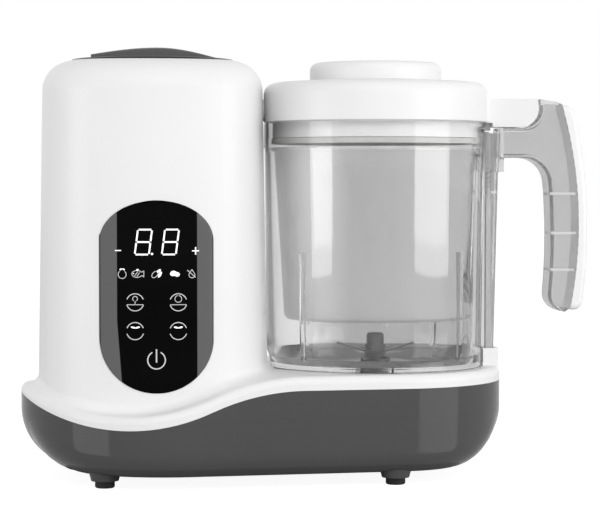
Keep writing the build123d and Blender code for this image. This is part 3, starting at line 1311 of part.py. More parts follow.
with BuildPart() as cord_gland:
    with BuildSketch(Plane.XZ.offset(-gland_seat_y)):
        with Locations((gland_x, gland_z)):
            Circle(gland_flange_r)
    extrude(amount=-gland_flange_t)
    with BuildSketch(Plane.XZ.offset(-gland_seat_y - gland_flange_t)):
        with Locations((gland_x, gland_z)):
            Circle(gland_r)
    extrude(amount=gland_len + gland_flange_t)
    with BuildSketch(Plane.XZ.offset(-gland_seat_y - gland_flange_t)):
        with Locations((gland_x, gland_z)):
            Circle(gland_bore_r)
    extrude(amount=gland_len + gland_flange_t, mode=Mode.SUBTRACT)
finish(cord_gland, "cord_gland")

with BuildPart() as cord_nut:
    with BuildSketch(Plane.XZ.offset(-gland_seat_y + 2 * wall)):
        with Locations((gland_x, gland_z)):
            RegularPolygon(gland_flange_r, 6)
            Circle(gland_r + bore_play, mode=Mode.SUBTRACT)
    extrude(amount=gland_flange_t)
finish(cord_nut, "cord_nut")
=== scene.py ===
import math

import bmesh
import bpy
from mathutils import Matrix, Vector
from mathutils.bvhtree import BVHTree


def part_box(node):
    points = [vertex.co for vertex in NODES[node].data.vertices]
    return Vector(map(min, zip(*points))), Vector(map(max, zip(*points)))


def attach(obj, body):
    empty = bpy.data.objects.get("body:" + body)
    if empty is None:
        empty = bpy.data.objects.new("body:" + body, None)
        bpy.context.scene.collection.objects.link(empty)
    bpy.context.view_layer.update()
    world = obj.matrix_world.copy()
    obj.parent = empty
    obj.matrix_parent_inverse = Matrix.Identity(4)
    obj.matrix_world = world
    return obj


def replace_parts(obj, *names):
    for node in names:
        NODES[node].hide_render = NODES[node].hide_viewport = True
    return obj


# Looks of the baby food maker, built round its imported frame.
# Everything is in metres: X from the water tower to the jug handle, Y to the back, Z up.

bl_info = {
    "name": "Baby food maker looks",
    "version": (1, 1, 0),
    "blender": (4, 5, 0),
    "location": "3D View > Sidebar > Food maker",
    "description": "Finishes and small pieces of a steaming and blending baby food maker",
    "category": "Object",
}

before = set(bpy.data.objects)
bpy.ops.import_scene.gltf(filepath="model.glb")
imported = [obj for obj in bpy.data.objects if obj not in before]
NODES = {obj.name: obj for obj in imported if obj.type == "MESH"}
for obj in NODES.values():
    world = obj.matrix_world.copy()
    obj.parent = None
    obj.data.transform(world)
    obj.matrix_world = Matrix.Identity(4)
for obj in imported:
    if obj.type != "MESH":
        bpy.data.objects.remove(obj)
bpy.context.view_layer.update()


# ------------------------------------------------------------------------------------
# Shader writing
# ------------------------------------------------------------------------------------

class Value:
    """One output in a node tree. Operators on it add Math nodes."""

    def __init__(self, shader, output):
        self.shader = shader
        self.output = output

    def math(self, operation, *values):
        return self.shader.node("ShaderNodeMath", {"operation": operation}, dict(enumerate(values)))

    def __add__(self, other):
        return self.math("ADD", self, other)

    def __sub__(self, other):
        return self.math("SUBTRACT", self, other)

    def __rsub__(self, other):
        return self.math("SUBTRACT", other, self)

    def __mul__(self, other):
        return self.math("MULTIPLY", self, other)

    def __abs__(self):
        return self.math("ABSOLUTE", self)

    def over(self, edge, soft):
        """0 below edge, 1 above it, with a soft step between."""
        return self.math("MULTIPLY_ADD", self, 1.0 / soft, 0.5 - edge / soft).clamp()

    def most(self, other):
        return self.math("MAXIMUM", self, other)

    def clamp(self):
        return self.shader.node("ShaderNodeClamp", {}, {0: self})


class Shader:
    """The node tree of a material or of the studio, written as Python expressions."""

    def __init__(self, owner):
        self.owner = owner
        owner.use_nodes = True
        self.tree = owner.node_tree
        self.tree.nodes.clear()

    def node(self, kind, settings=None, values=None, out=0):
        made = self.tree.nodes.new(kind)
        for key, setting in (settings or {}).items():
            setattr(made, key, setting)
        for key, value in (values or {}).items():
            if isinstance(value, Value):
                self.tree.links.new(value.output, made.inputs[key])
            else:
                made.inputs[key].default_value = value
        return Value(self, made.outputs[out]) if made.outputs else None

    def at(self):
        """Object coordinates, in metres."""
        return self.node("ShaderNodeTexCoord", out="Object")

    def axes(self):
        split = self.node("ShaderNodeSeparateXYZ", {}, {0: self.at()})
        return [Value(self, output) for output in split.output.node.outputs]

    def noise(self, size, detail=2.0, rough=0.5, stretch=(1.0, 1.0, 1.0)):
        """Soft noise whose lumps are about size metres across."""
        place = self.node("ShaderNodeMapping", {}, {0: self.at(), 3: stretch})
        return self.node("ShaderNodeTexNoise", {}, {"Vector": place, "Scale": 1.0 / size,
                                                    "Detail": detail, "Roughness": rough})

    def cell_edges(self, size):
        """Distance to the edges of cells about size metres across, as a share of that size."""
        return self.node("ShaderNodeTexVoronoi", {"feature": "DISTANCE_TO_EDGE"},
                         {"Vector": self.at(), "Scale": 1.0 / size})

    def rays(self, *kinds):
        """1 for a ray of any of the kinds named."""
        path = self.node("ShaderNodeLightPath").output.node.outputs
        seen = Value(self, path[kinds[0]])
        for kind in kinds[1:]:
            seen = seen.most(Value(self, path[kind]))
        return seen

    def blend(self, share, low, high):
        """Colour between low and high."""
        return self.node("ShaderNodeMix", {"data_type": "RGBA"},
                         {0: share, 6: rgba(low), 7: rgba(high)}, out=2)

    def mixed(self, share, one, other):
        """Surface between one and other."""
        return self.node("ShaderNodeMixShader", {}, {0: share, 1: one, 2: other})

    def clear(self, shade):
        """A surface that lets everything straight through, tinted."""
        return self.node("ShaderNodeBsdfTransparent", {}, {0: shade})

    def veiled(self, surface, shade):
        """The surface, which only veils the lamps behind it in place of casting a full shadow."""
        return self.mixed(self.rays("Is Shadow Ray"), surface, self.clear(shade))

    def bump(self, height, depth):
        """Normal from a 0 to 1 height that stands depth metres tall."""
        return self.node("ShaderNodeBump", {}, {"Strength": 1.0, "Distance": depth, "Height": height})

    def surface(self, **sockets):
        """The Principled surface; a socket's name is written with underscores."""
        values = as_colour({key.replace("_", " "): value for key, value in sockets.items()})
        return self.node("ShaderNodeBsdfPrincipled", {}, values)

    def done(self, surface):
        self.node("ShaderNodeOutputMaterial", {}, {0: surface})
        return self.owner


def finish(name):
    return Shader(bpy.data.materials.new(name))


def grey(level):
    return (level, level, level, 1.0)


def rgba(shade):
    return shade if isinstance(shade, Value) else (*shade[:3], 1.0)


def as_colour(values):
    """Plain colours written as three numbers get their fourth."""
    return {key: (*value, 1.0) if isinstance(value, tuple) and len(value) == 3 else value
            for key, value in values.items()}


def scaled(shade, share):
    return tuple(part * share for part in shade[:3])


# ------------------------------------------------------------------------------------
# Finishes
# ------------------------------------------------------------------------------------

# Refractive indices. The jug's rim is thin, so its two faces nearly cancel each other.
PLASTIC_INDEX = 1.5
JUG_INDEX = 1.54
RIM_INDEX = 1.25
SILICONE_INDEX = 1.43
COATED_GLASS_INDEX = 1.45

# Over how much the panel's black turns into a painted reflection band, in metres.
REFLECTION_SOFT = 0.0003


def moulded(name, colour, rough, grain=0.00035, depth=0.000003, spread=0.02, gloss=0.5):
    """Injection-moulded plastic: a faint grain, slow changes of gloss and a trace of dust."""
    f = finish(name)
    slow = f.noise(0.045, 3.0)
    fine = f.noise(grain, 2.0, 0.6)
    shade = f.blend(slow, scaled(colour, 1 - spread), scaled(colour, 1 + spread))
    dull = slow * 0.06 + fine * 0.04 + (rough - 0.05)
    return f.done(f.surface(Base_Color=shade, Roughness=dull, IOR=PLASTIC_INDEX, Specular_IOR_Level=gloss,
                            Normal=f.bump(fine, depth)))


def clear_wall(name, tint, rim_tint, rim_height, painted_shade_height, middle, left=0.03, painted_light_soft=0.022,
               painted_light_gain=1.4, rough=0.015, ripple=0.00002):
    """Smoky clear plastic, clearer at the thin rim, with flow lines; painted light makes it lighter on the
    left and painted shade makes it darker in the skirt.
    """
    f = finish(name)
    across, _, height = f.axes()
    flow = f.noise(0.02, 2.0, 0.5, (1.0, 1.0, 0.25))
    scratch = f.noise(0.0012, 2.0, 0.7, (1.0, 1.0, 0.04))
    # Painted light: the tint is lighter left of the axis, standing in for the white tower that lights the
    # jug's left side and is mirrored in it.
    wall = f.blend(across.over(middle - left, painted_light_soft), scaled(tint, painted_light_gain), tint)
    # Painted shade: the tint is darker in the skirt, standing in for the shade of the well it stands in.
    painted_light_tint = f.blend(height.over(painted_shade_height, 0.002), scaled(tint, 0.95), wall)
    glass, rim = (f.surface(Base_Color=shade, Roughness=scratch * 0.03 + rough, IOR=index,
                            Transmission_Weight=1.0, Normal=f.bump(flow, ripple))
                  for shade, index in ((painted_light_tint, JUG_INDEX), (rim_tint, RIM_INDEX)))
    body = f.mixed(height.over(rim_height, 0.0015), glass, rim)
    return f.done(f.veiled(body, f.blend(flow, grey(0.96), grey(0.98))))


def milky(name, colour, clear, clear_to_lamps=0.92, inner_share=0.25):
    """White plastic that lets light through, with faint flow lines."""
    f = finish(name)
    flow = f.noise(0.015, 3.0, 0.5, (1.0, 1.0, 0.4))
    shade = f.blend(flow, scaled(colour, 0.96), colour)
    skin = f.surface(Base_Color=shade, Roughness=flow * 0.06 + 0.25, IOR=PLASTIC_INDEX,
                     Normal=f.bump(flow, 0.00001))
    inside = f.node("ShaderNodeBsdfTranslucent", {}, {0: shade})
    share = f.rays("Is Shadow Ray") * (clear_to_lamps - clear) + clear
    return f.done(f.mixed(share, f.mixed(inner_share, skin, inside), f.clear(grey(0.97))))


def smoky(name, colour, clear, rough=0.06):
    """Tinted plastic, mostly clear, with faint flow lines."""
    f = finish(name)
    flow = f.noise(0.015, 3.0, 0.5, (1.0, 1.0, 0.4))
    shade = f.blend(flow, scaled(colour, 0.97), colour)
    body = f.surface(Base_Color=shade, Roughness=flow * 0.06 + (rough - 0.03), IOR=PLASTIC_INDEX,
                     Transmission_Weight=clear, Normal=f.bump(flow, 0.00001))
    return f.done(f.veiled(body, grey(0.95)))


def rubber(name, colour, rough=0.6):
    """Moulded rubber or silicone with a dry, slightly mottled skin."""
    f = finish(name)
    mottle = f.noise(0.003, 4.0, 0.6)
    fine = f.noise(0.0003, 2.0)
    shade = f.blend(mottle, scaled(colour, 0.9), scaled(colour, 1.1))
    return f.done(f.surface(Base_Color=shade, Roughness=mottle * 0.15 + (rough - 0.07), IOR=SILICONE_INDEX,
                            Normal=f.bump(fine, 0.00001)))


def metal(name, colour, rough, stretch=(1.0, 1.0, 1.0), depth=0.000003):
    """Bare metal with drawn or turned lines along the stretched axis."""
    f = finish(name)
    lines = f.noise(0.0008, 3.0, 0.6, stretch)
    stain = f.noise(0.012, 3.0)
    shade = f.blend(stain, scaled(colour, 0.9), colour)
    return f.done(f.surface(Base_Color=shade, Metallic=1.0, Normal=f.bump(lines, depth),
                            Roughness=lines * 0.14 + stain * 0.06 + (rough - 0.1)))


def circuit_board(name, mask):
    """Solder-masked board: tracks under the mask and bare pads."""
    f = finish(name)
    tracks = f.cell_edges(0.003).over(0.12, 0.04)
    shade = f.blend(tracks, scaled(mask, 1.5), mask)
    return f.done(f.surface(Base_Color=shade, Roughness=f.noise(0.002) * 0.15 + 0.3,
                            Normal=f.bump(tracks, 0.00003)))


def panel_glass(name, black, side, middle, half, sizes):
    """Gloss black panel with painted reflections as grey bands down both sides, the left one narrowing the
    black below.
    """
    f = finish(name)
    x, _, z = f.axes()
    across = x - middle
    edge = abs(across).over(half - sizes.dark_edge, 0.0004)
    right = across.over(sizes.right_reflection, REFLECTION_SOFT)
    lean = (sizes.lean_height - z).most(0.0) * sizes.reflection_lean
    left = (0.0 - across + lean).over(sizes.left_reflection, REFLECTION_SOFT)
    smudge = f.noise(0.02, 3.0)
    # The side colour is painted reflection: grey bands stand in for the bright surroundings mirrored where
    # the glass turns with the tower.
    bands = f.blend(right.most(left), black, side)
    return f.done(f.surface(Base_Color=f.blend(edge, bands, scaled(side, 0.4)), IOR=COATED_GLASS_INDEX,
                            Roughness=smudge * 0.05 + 0.04, Specular_IOR_Level=0.04))


def lit_ink(name, ink, glow_strength):
    """White ink lit from behind."""
    f = finish(name)
    glow = f.noise(0.001, 2.0)
    lit = f.blend(glow, scaled(ink, 0.92), ink)
    return f.done(f.surface(Base_Color=lit, Roughness=0.4, Emission_Color=lit,
                            Emission_Strength=glow_strength))


# ------------------------------------------------------------------------------------
# Mesh helpers
# ------------------------------------------------------------------------------------

def finished(name, mesh, body, material, smooth=40.0):
    """Link a finished mesh as a piece that rides on a body."""
    mesh.name = name
    piece = bpy.data.objects.new(name, mesh)
    bpy.context.scene.collection.objects.link(piece)
    mesh.materials.clear()
    mesh.materials.append(material)
    mesh.shade_smooth()
    mesh.set_sharp_from_angle(angle=math.radians(smooth))
    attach(piece, body)
    return piece


def mesh_from(bm, name):
    """A mesh from a bmesh, with its faces pointing outwards."""
    bmesh.ops.recalc_face_normals(bm, faces=bm.faces)
    mesh = bpy.data.meshes.new(name)
    bm.to_mesh(mesh)
    bm.free()
    return mesh


def turned(bm, profile, centre, segments=96):
    """Spin a profile of radius and height points about an upright axis through centre."""
    start = [bm.verts.new((centre[0] + r, centre[1], z)) for r, z in profile]
    edges = [bm.edges.new(pair) for pair in zip(start, start[1:])]
    bmesh.ops.spin(bm, geom=start + edges, cent=(centre[0], centre[1], 0.0), axis=(0, 0, 1),
                   angle=math.tau, steps=segments, use_merge=True)
    bmesh.ops.remove_doubles(bm, verts=bm.verts, dist=1e-6)
    return bm


def arc(x, z, r, start, swing, count=20, squash=1.0, lean=0.0):
    """Points along an arc or, squashed and leaning, along part of an oval; angles in degrees."""
    points = []
    for step in range(count + 1):
        turn = math.radians(start + swing * step / count)
        u, v = r * math.cos(turn), r * squash * math.sin(turn)
        tip = math.radians(lean)
        points.append((x + u * math.cos(tip) - v * math.sin(tip), z + u * math.sin(tip) + v * math.cos(tip)))
    return points


def run(points, step=0.0006):
    """The points with more between them, so that a line can follow a curved face."""
    full = [points[0]]
    for (x0, z0), (x1, z1) in zip(points, points[1:]):
        count = max(1, math.ceil(math.hypot(x1 - x0, z1 - z0) / step))
        full += [(x0 + (x1 - x0) * n / count, z0 + (z1 - z0) * n / count) for n in range(1, count + 1)]
    return full


def strokes(name, lines, width, height):
    """Inked lines as one mesh in the XZ plane."""
    curve = bpy.data.curves.new(name, "CURVE")
    curve.dimensions = "3D"
    curve.bevel_depth = width / 2
    curve.bevel_resolution = 1
    curve.use_fill_caps = True
    for points in lines:
        points = run(points)
        spline = curve.splines.new("POLY")
        spline.points.add(len(points) - 1)
        for point, (x, z) in zip(spline.points, points):
            point.co = (x, 0.0, z, 1.0)
    holder = bpy.data.objects.new(name, curve)
    bpy.context.scene.collection.objects.link(holder)
    bpy.context.view_layer.update()
    mesh = bpy.data.meshes.new_from_object(holder.evaluated_get(bpy.context.evaluated_depsgraph_get()))
    bpy.data.objects.remove(holder)
    bpy.data.curves.remove(curve)
    mesh.transform(Matrix.Diagonal((1.0, 2 * height / width, 1.0, 1.0)))
    return mesh


def patches(name, ovals, height):
    """Filled ovals as one mesh in the XZ plane: each is x, z, radius, squash and lean in degrees."""
    bm = bmesh.new()
    for x, z, r, squash, lean in ovals:
        place = (Matrix.Translation((x, 0.0, z)) @ Matrix.Rotation(math.radians(-lean), 4, "Y")
                 @ Matrix.Diagonal((1.0, 1.0, squash, 1.0)) @ Matrix.Rotation(math.pi / 2, 4, "X"))
        oval = bmesh.ops.create_circle(bm, cap_ends=True, segments=20, radius=r, matrix=place)["verts"]
        face = oval[0].link_faces[0]
        grown = bmesh.ops.extrude_face_region(bm, geom=[face])["geom"]
        bmesh.ops.translate(bm, vec=(0.0, -height, 0.0),
                            verts=[v for v in grown if isinstance(v, bmesh.types.BMVert)])
    return mesh_from(bm, name)


def skin_of(*sources):
    """A tree for dropping points on the front of meshes."""
    whole = bmesh.new()
    for source in sources:
        whole.from_mesh(source)
    tree = BVHTree.FromBMesh(whole)
    whole.free()
    return tree


def settle(tree, vertices, what):
    """Move vertices along Y to the front of a skin."""
    for vertex in vertices:
        hit = tree.ray_cast(Vector((vertex.co.x, -1.0, vertex.co.z)), Vector((0.0, 1.0, 0.0)))[0]
        if hit is None:
            raise RuntimeError(f"{what} lies off the front")
        vertex.co.y += hit.y


def ramp(value, start, reach):
    """0 up to start, then a smooth step to 1 over reach."""
    share = min(max((value - start) / reach, 0.0), 1.0)
    return share * share * (3 - 2 * share)


def reshaped(node, body, material, levels, move):
    """Put a moved copy of a CAD node's mesh in its place, divided first at some levels."""
    bm = bmesh.new()
    bm.from_mesh(NODES[node].data)
    bmesh.ops.remove_doubles(bm, verts=bm.verts, dist=2e-6)
    for level in levels:
        cut(bm, (0, 0, level), (0, 0, 1))
    for vertex in bm.verts:
        vertex.co = move(vertex.co)
    mesh = mesh_from(bm, node + "_full")
    # The CAD's own normals don't fit the moved mesh.
    if "custom_normal" in mesh.attributes:
        mesh.attributes.remove(mesh.attributes["custom_normal"])
    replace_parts(finished(node + "_full", mesh, body, material, 30.0), node)


def cut(bm, place, normal):
    """Divide a mesh along a plane."""
    bmesh.ops.bisect_plane(bm, geom=bm.verts[:] + bm.edges[:] + bm.faces[:], dist=1e-6, plane_co=place,
                           plane_no=normal)


def joined(one, other, operation="UNION"):
    """Two closed meshes as one, or the first with the second cut out."""
    holders = [bpy.data.objects.new(mesh.name, mesh) for mesh in (one, other)]
    for holder in holders:
        bpy.context.scene.collection.objects.link(holder)
    union = holders[0].modifiers.new("union", "BOOLEAN")
    union.operation, union.solver, union.object = operation, "EXACT", holders[1]
    bpy.context.view_layer.update()
    whole = bpy.data.meshes.new_from_object(holders[0].evaluated_get(bpy.context.evaluated_depsgraph_get()))
    for holder in holders:
        mesh = holder.data
        bpy.data.objects.remove(holder)
        bpy.data.meshes.remove(mesh)
    return whole


def islands(bm):
    """Lists of the vertices that hang together, in the mesh's own order."""
    bmesh.ops.remove_doubles(bm, verts=bm.verts, dist=2e-6)
    seen, groups = set(), []
    for first in bm.verts:
        if first in seen:
            continue
        seen.add(first)
        group = [first]
        for vertex in group:
            fresh = [v for v in (e.other_vert(vertex) for e in vertex.link_edges) if v not in seen]
            seen.update(fresh)
            group += fresh
        groups.append(group)
    return groups


def trimmed(start, end, gap):
    """A straight line with both ends drawn in by gap."""
    run_x, run_z = end[0] - start[0], end[1] - start[1]
    share = gap / math.hypot(run_x, run_z)
    return [(start[0] + run_x * share, start[1] + run_z * share),
            (end[0] - run_x * share, end[1] - run_z * share)]


# ------------------------------------------------------------------------------------
# Settings
# ------------------------------------------------------------------------------------

def colour(name, description, default):
    return bpy.props.FloatVectorProperty(name=name, description=description, subtype="COLOR", size=3,
                                         min=0.0, max=1.0, default=default)


def length(name, description, default):
    return bpy.props.FloatProperty(name=name, description=description, default=default, min=0.0,
                                   subtype="DISTANCE", unit="LENGTH")


def angle(name, description, degrees):
    return bpy.props.FloatProperty(name=name, description=description, default=math.radians(degrees),
                                   subtype="ANGLE")


def number(name, description, default, **limits):
    return bpy.props.FloatProperty(name=name, description=description, default=default, **limits)


class FoodMakerFinishes(bpy.types.PropertyGroup):
    """Colours of the food maker."""
    housing: colour("Housing", "White gloss plastic of the tower, deck and lid", (0.85, 0.85, 0.85))
    base: colour("Base", "Dark grey plastic of the base", (0.073, 0.073, 0.074))
    cap: colour("Filler cap", "Dark grey plastic of the filler cap", (0.08, 0.08, 0.081))
    panel: colour("Panel", "Black of the touch panel", (0.0022, 0.0022, 0.0024))
    # The side bands' grey is painted reflection.
    panel_reflection: colour("Panel sides", "Smoked side bands of the touch panel", (0.13, 0.13, 0.131))
    jug: colour("Jug", "Smoky tint of the jug's wall", (0.6, 0.6, 0.6))
    jug_rim: colour("Jug rim", "Tint of the jug's thin rim", (0.72, 0.72, 0.72))
    basket: colour("Basket", "Milky plastic of the steaming basket", (0.93, 0.93, 0.93))
    handle: colour("Handle", "Smoky plastic of the handle", (0.72, 0.72, 0.72))
    ink: colour("Ink", "Lit digits and printed signs", (0.95, 0.95, 0.95))


class FoodMakerPanel(bpy.types.PropertyGroup):
    """Sizes of the touch panel's glass and of the marks on it."""
    digit_height: length("Digit height", "Height of a lit digit", 0.0134)
    digit_width: length("Digit width", "Width of a lit digit", 0.0080)
    digit_lean: length("Digit lean", "How far a digit's top leans to the right", 0.0016)
    digit_stroke: length("Digit stroke", "Width of a digit's segment", 0.00095)
    line: length("Line", "Width of a printed line", 0.0005)
    fine_line: length("Fine line", "Width of the lines inside the keys and signs", 0.0004)
    proud: length("Ink height", "How far the ink stands off the glass", 0.00006)
    glass_proud: length("Glass step", "How far the glass stands off the tower", 0.0004)
    shift: length("Glass shift", "How far the glass reaches past its frame on the right", 0.0003)
    longer: length("Glass length", "How far the glass reaches below its frame", 0.0009)
    top_rise: length("Top oval", "Height of the glass's oval top end", 0.0202)
    foot_drop: length("Foot oval", "Height of the glass's oval lower end", 0.0272)
    dark_edge: length("Dark edge", "Width of the glass's dark edge", 0.0006)
    # The bands set below are painted reflections down the glass's sides.
    right_reflection: length("Right band", "From the glass's middle to its right smoked band", 0.0203)
    left_reflection: length("Left band", "From the glass's middle to its left smoked band", 0.0199)
    lean_height: length("Lean height", "Height below which the left band grows wider", 0.085)
    reflection_lean: number("Band lean", "How fast the left band grows wider downwards", 0.075)


class FoodMakerJug(bpy.types.PropertyGroup):
    """Sizes of the jug and its lid."""
    swell: length("Swell", "How far the wall and the lid stand out past the frame's", 0.0015)
    twist: angle("Rib turn", "How far the ribs are turned, easing in from the spine", 5.0)


class FoodMakerBase(bpy.types.PropertyGroup):
    """Sizes of the base's filled-out lower edge."""
    underside: length("Underside", "Height of the base's underside", 0.0065)
    shell_edge: length("Frame's edge", "Radius of the frame's lower edge", 0.03)
    edge: length("Front edge", "Radius of the lower edge at front and back", 0.013)
    well: length("Screw well", "Radius of the wells over the base screws", 0.0042)


class FoodMakerCap(bpy.types.PropertyGroup):
    """Sizes of the filler cap."""
    edge: length("Edge", "Thickness of the flange at its edge", 0.001)
    dome: length("Dome", "Height of the flange in the middle", 0.0022)
    ahead: length("Grip shift", "From the cap's axis to the middle of the grip", 0.0012)
    length: length("Grip length", "Length of the grip", 0.067)
    width: length("Grip width", "Width of the grip at the middle", 0.018)
    crest: number("Crest", "Place of the highest point, from -1 to 1", 0.05, min=-0.9, max=0.9)
    blunt: number("Blunt end", "Height of the left end, as a share", 0.34, min=0.0, max=1.0)
    taper: number("Taper", "Share of its width that the grip loses at both ends", 0.25, min=0.0, max=0.5)
    tail: number("Tail", "Share of its width that the grip also loses at the right", 0.3, min=0.0, max=0.5)


class FoodMakerStage(bpy.types.PropertyGroup):
    """Camera, lamps and floor."""
    distance: length("Camera distance", "From the camera to the middle of the product", 1.175)
    eye: length("Eye height", "Height of the camera above the worktop", 0.155)
    turn: angle("Camera turn", "Camera's place round the product", -5.3)
    aside: number("Camera aim", "Where the camera's circle has its centre, along X", -0.003,
                  subtype="DISTANCE", unit="LENGTH")
    tilt: angle("Camera tilt", "Downward tilt of the camera", 2.21)
    lens: number("Lens", "Focal length in millimetres", 133.0)
    glow: number("Softbox glow", "Radiance of the side softboxes", 4.0)
    reach: length("Softbox reach", "From the jug's axis to a side softbox", 1.25)
    box_foot: length("Softbox foot", "Height of the lower edge of the side softboxes", 0.03)
    left_tall: length("Left size", "Upright size of the left softbox", 0.36)
    right_tall: length("Right size", "Upright size of the right softbox", 0.56)
    left_width: length("Left width", "Width of the left softbox", 0.65)
    right_width: length("Right width", "Width of the right softbox", 0.91)
    left_turn: angle("Left turn", "Left softbox's place round the jug", -66.0)
    right_turn: angle("Right turn", "Right softbox's place round the jug", 52.7)
    front: number("Front softbox", "Power of the raised softbox in front, in watts", 9.0)
    floor_lit: number("Floor", "Grey of the floor as it lights the product", 0.7)
    floor_seen: number("Floor in view", "Grey of the floor that takes the shadow in view", 0.3)
    floor_glow: number("Floor glow", "Light that lifts the floor in view to near white", 0.93)
    polish: number("Floor polish", "How much of the lamps the floor passes on to glossy pieces", 0.4)
    fill: number("Fill strength", "Even light from the studio walls", 0.5)


# ------------------------------------------------------------------------------------
# Operators
# ------------------------------------------------------------------------------------

def use(material, *names):
    """Give CAD nodes a finish."""
    for name in names:
        mesh = NODES[name].data
        mesh.materials.clear()
        mesh.materials.append(material)


class FOODMAKER_OT_finishes(bpy.types.Operator):
    """Give every carried-over node its finish"""
    bl_idname = "foodmaker.finishes"
    bl_label = "Finishes"

    def execute(self, context):
        s = context.scene.foodmaker_finishes
        use(moulded("white_gloss", tuple(s.housing), 0.34, gloss=0.3), "body_housing", "lid_dome",
            "handle_cover", "filler_neck", "pushrod", "steam_nozzle")
        use(moulded("dark_satin", tuple(s.base), 0.09, 0.0003, 0.000001, 0.05, 0.22), "base_shell",
            "cord_gland", "cord_nut")
        use(milky("milky_basket", tuple(s.basket), 0.4), "steam_basket")
        use(smoky("smoky_handle", tuple(s.handle), 0.85), "jug_handle")
        use(moulded("grey_nylon", (0.17, 0.17, 0.17), 0.4, depth=0.00001), "blade_hub", "blade_bush")
        use(moulded("black_nylon", (0.02, 0.02, 0.021), 0.5, depth=0.00001), "cooling_fan",
            "drive_coupler", "jug_coupler", "cap_stem", "switch_plunger", "display_module",
            "safety_switch", "motor_bracket")
        use(moulded("natural_plastic", (0.72, 0.72, 0.69), 0.35), "boiler_tank", "lid_liner")
        use(rubber("silicone", (0.6, 0.6, 0.59)), "boiler_seal", "bush_seal", "cap_seal", "lid_seal",
            "steam_pipe")
        use(rubber("black_rubber", (0.012, 0.012, 0.012), 0.7), "rubber_feet", "motor_dampers")
        use(metal("brushed_steel", (0.62, 0.62, 0.61), 0.3, (1.0, 1.0, 0.05)), "boiler_dish", "motor_can",
            "thermostat", "motor_shaft", "blade_shaft", "touch_springs", "pushrod_spring")
        use(metal("blade_steel", (0.3, 0.3, 0.3), 0.3, (0.1, 1.0, 1.0)), "lower_blades", "upper_blades")
        use(metal("zinc_screws", (0.55, 0.55, 0.53), 0.35), "motor_screws", "base_screws")
        use(metal("element_steel", (0.42, 0.41, 0.40), 0.4), "heating_element", "thermal_fuse")
        use(metal("sintered_bronze", (0.48, 0.33, 0.18), 0.5, depth=0.00002), "motor_bearings")
        use(metal("rotor_copper", (0.72, 0.36, 0.2), 0.35, (1.0, 1.0, 0.05)), "motor_rotor")
        use(moulded("ferrite", (0.03, 0.03, 0.032), 0.6, depth=0.00002), "motor_magnets")
        use(circuit_board("board_green", (0.01, 0.09, 0.03)), "display_board", "power_board")
        return {"FINISHED"}


# Where the jug and the lid are reshaped: where each smooth step starts and over how much it rises.
# Radii and heights in metres, turns from the spine in degrees. Past its rim the lid's swell fades, so
# that the arm over the handle keeps its place.
CUP_WALL = (0.045, 0.007)
CUP_SWELL_TURN = (20, 25)
CUP_SWELL_HEIGHT = (0.0605, 0.006)
CUP_TWIST_TURN = (30, 100)
CUP_TWIST_HEIGHT = (0.0575, 0.002)
CUP_CUTS = (0.0605, 0.062, 0.0635, 0.065, 0.0665)
# Height where the thin rim's tint starts, and height below which painted shade darkens the jug's skirt.
CUP_RIM_HEIGHT, CUP_PAINTED_SHADE_HEIGHT = 0.1715, 0.0585
LID_WALL = (0.048, 0.0085)
LID_RIM, LID_FADE = 0.0579, 0.0025
LID_HEIGHT = (0.185, 0.001)
LID_CUTS = (0.185, 0.1855, 0.186)


class FOODMAKER_OT_jug(bpy.types.Operator):
    """Swell the jug's wall and the lid, and set the ribs to their places"""
    bl_idname = "foodmaker.jug"
    bl_label = "Jug and lid"

    def execute(self, context):
        s = context.scene.foodmaker_finishes
        j = context.scene.foodmaker_jug
        low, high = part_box("blade_shaft")
        axis = (low.x + high.x) / 2

        def polar(point):
            return math.hypot(point.x - axis, point.y), math.atan2(point.y, point.x - axis)

        def placed(point, r, turn):
            return Vector((axis + r * math.cos(turn), r * math.sin(turn), point.z))

        def swell_cup(point):
            r, turn = polar(point)
            wall = ramp(r, *CUP_WALL)
            from_spine = abs(math.degrees(turn))
            swell = j.swell * wall * ramp(from_spine, *CUP_SWELL_TURN) * ramp(point.z, *CUP_SWELL_HEIGHT)
            twist = j.twist * wall * ramp(from_spine, *CUP_TWIST_TURN) * ramp(point.z, *CUP_TWIST_HEIGHT)
            return placed(point, r + swell, turn - twist)

        def swell_lid(point):
            r, turn = polar(point)
            share = ramp(r, *LID_WALL) if r < LID_RIM else 1 - min(1.0, (r - LID_RIM) / LID_FADE)
            return placed(point, r + j.swell * share * ramp(point.z, *LID_HEIGHT), turn)

        reshaped("jug_cup", "jug",
                 clear_wall("smoky_wall", tuple(s.jug), tuple(s.jug_rim), CUP_RIM_HEIGHT, CUP_PAINTED_SHADE_HEIGHT,
                            axis), CUP_CUTS, swell_cup)
        reshaped("lid_shell", "lid",
                 moulded("white_lid", tuple(s.housing), 0.34, gloss=0.3), LID_CUTS, swell_lid)
        return {"FINISHED"}


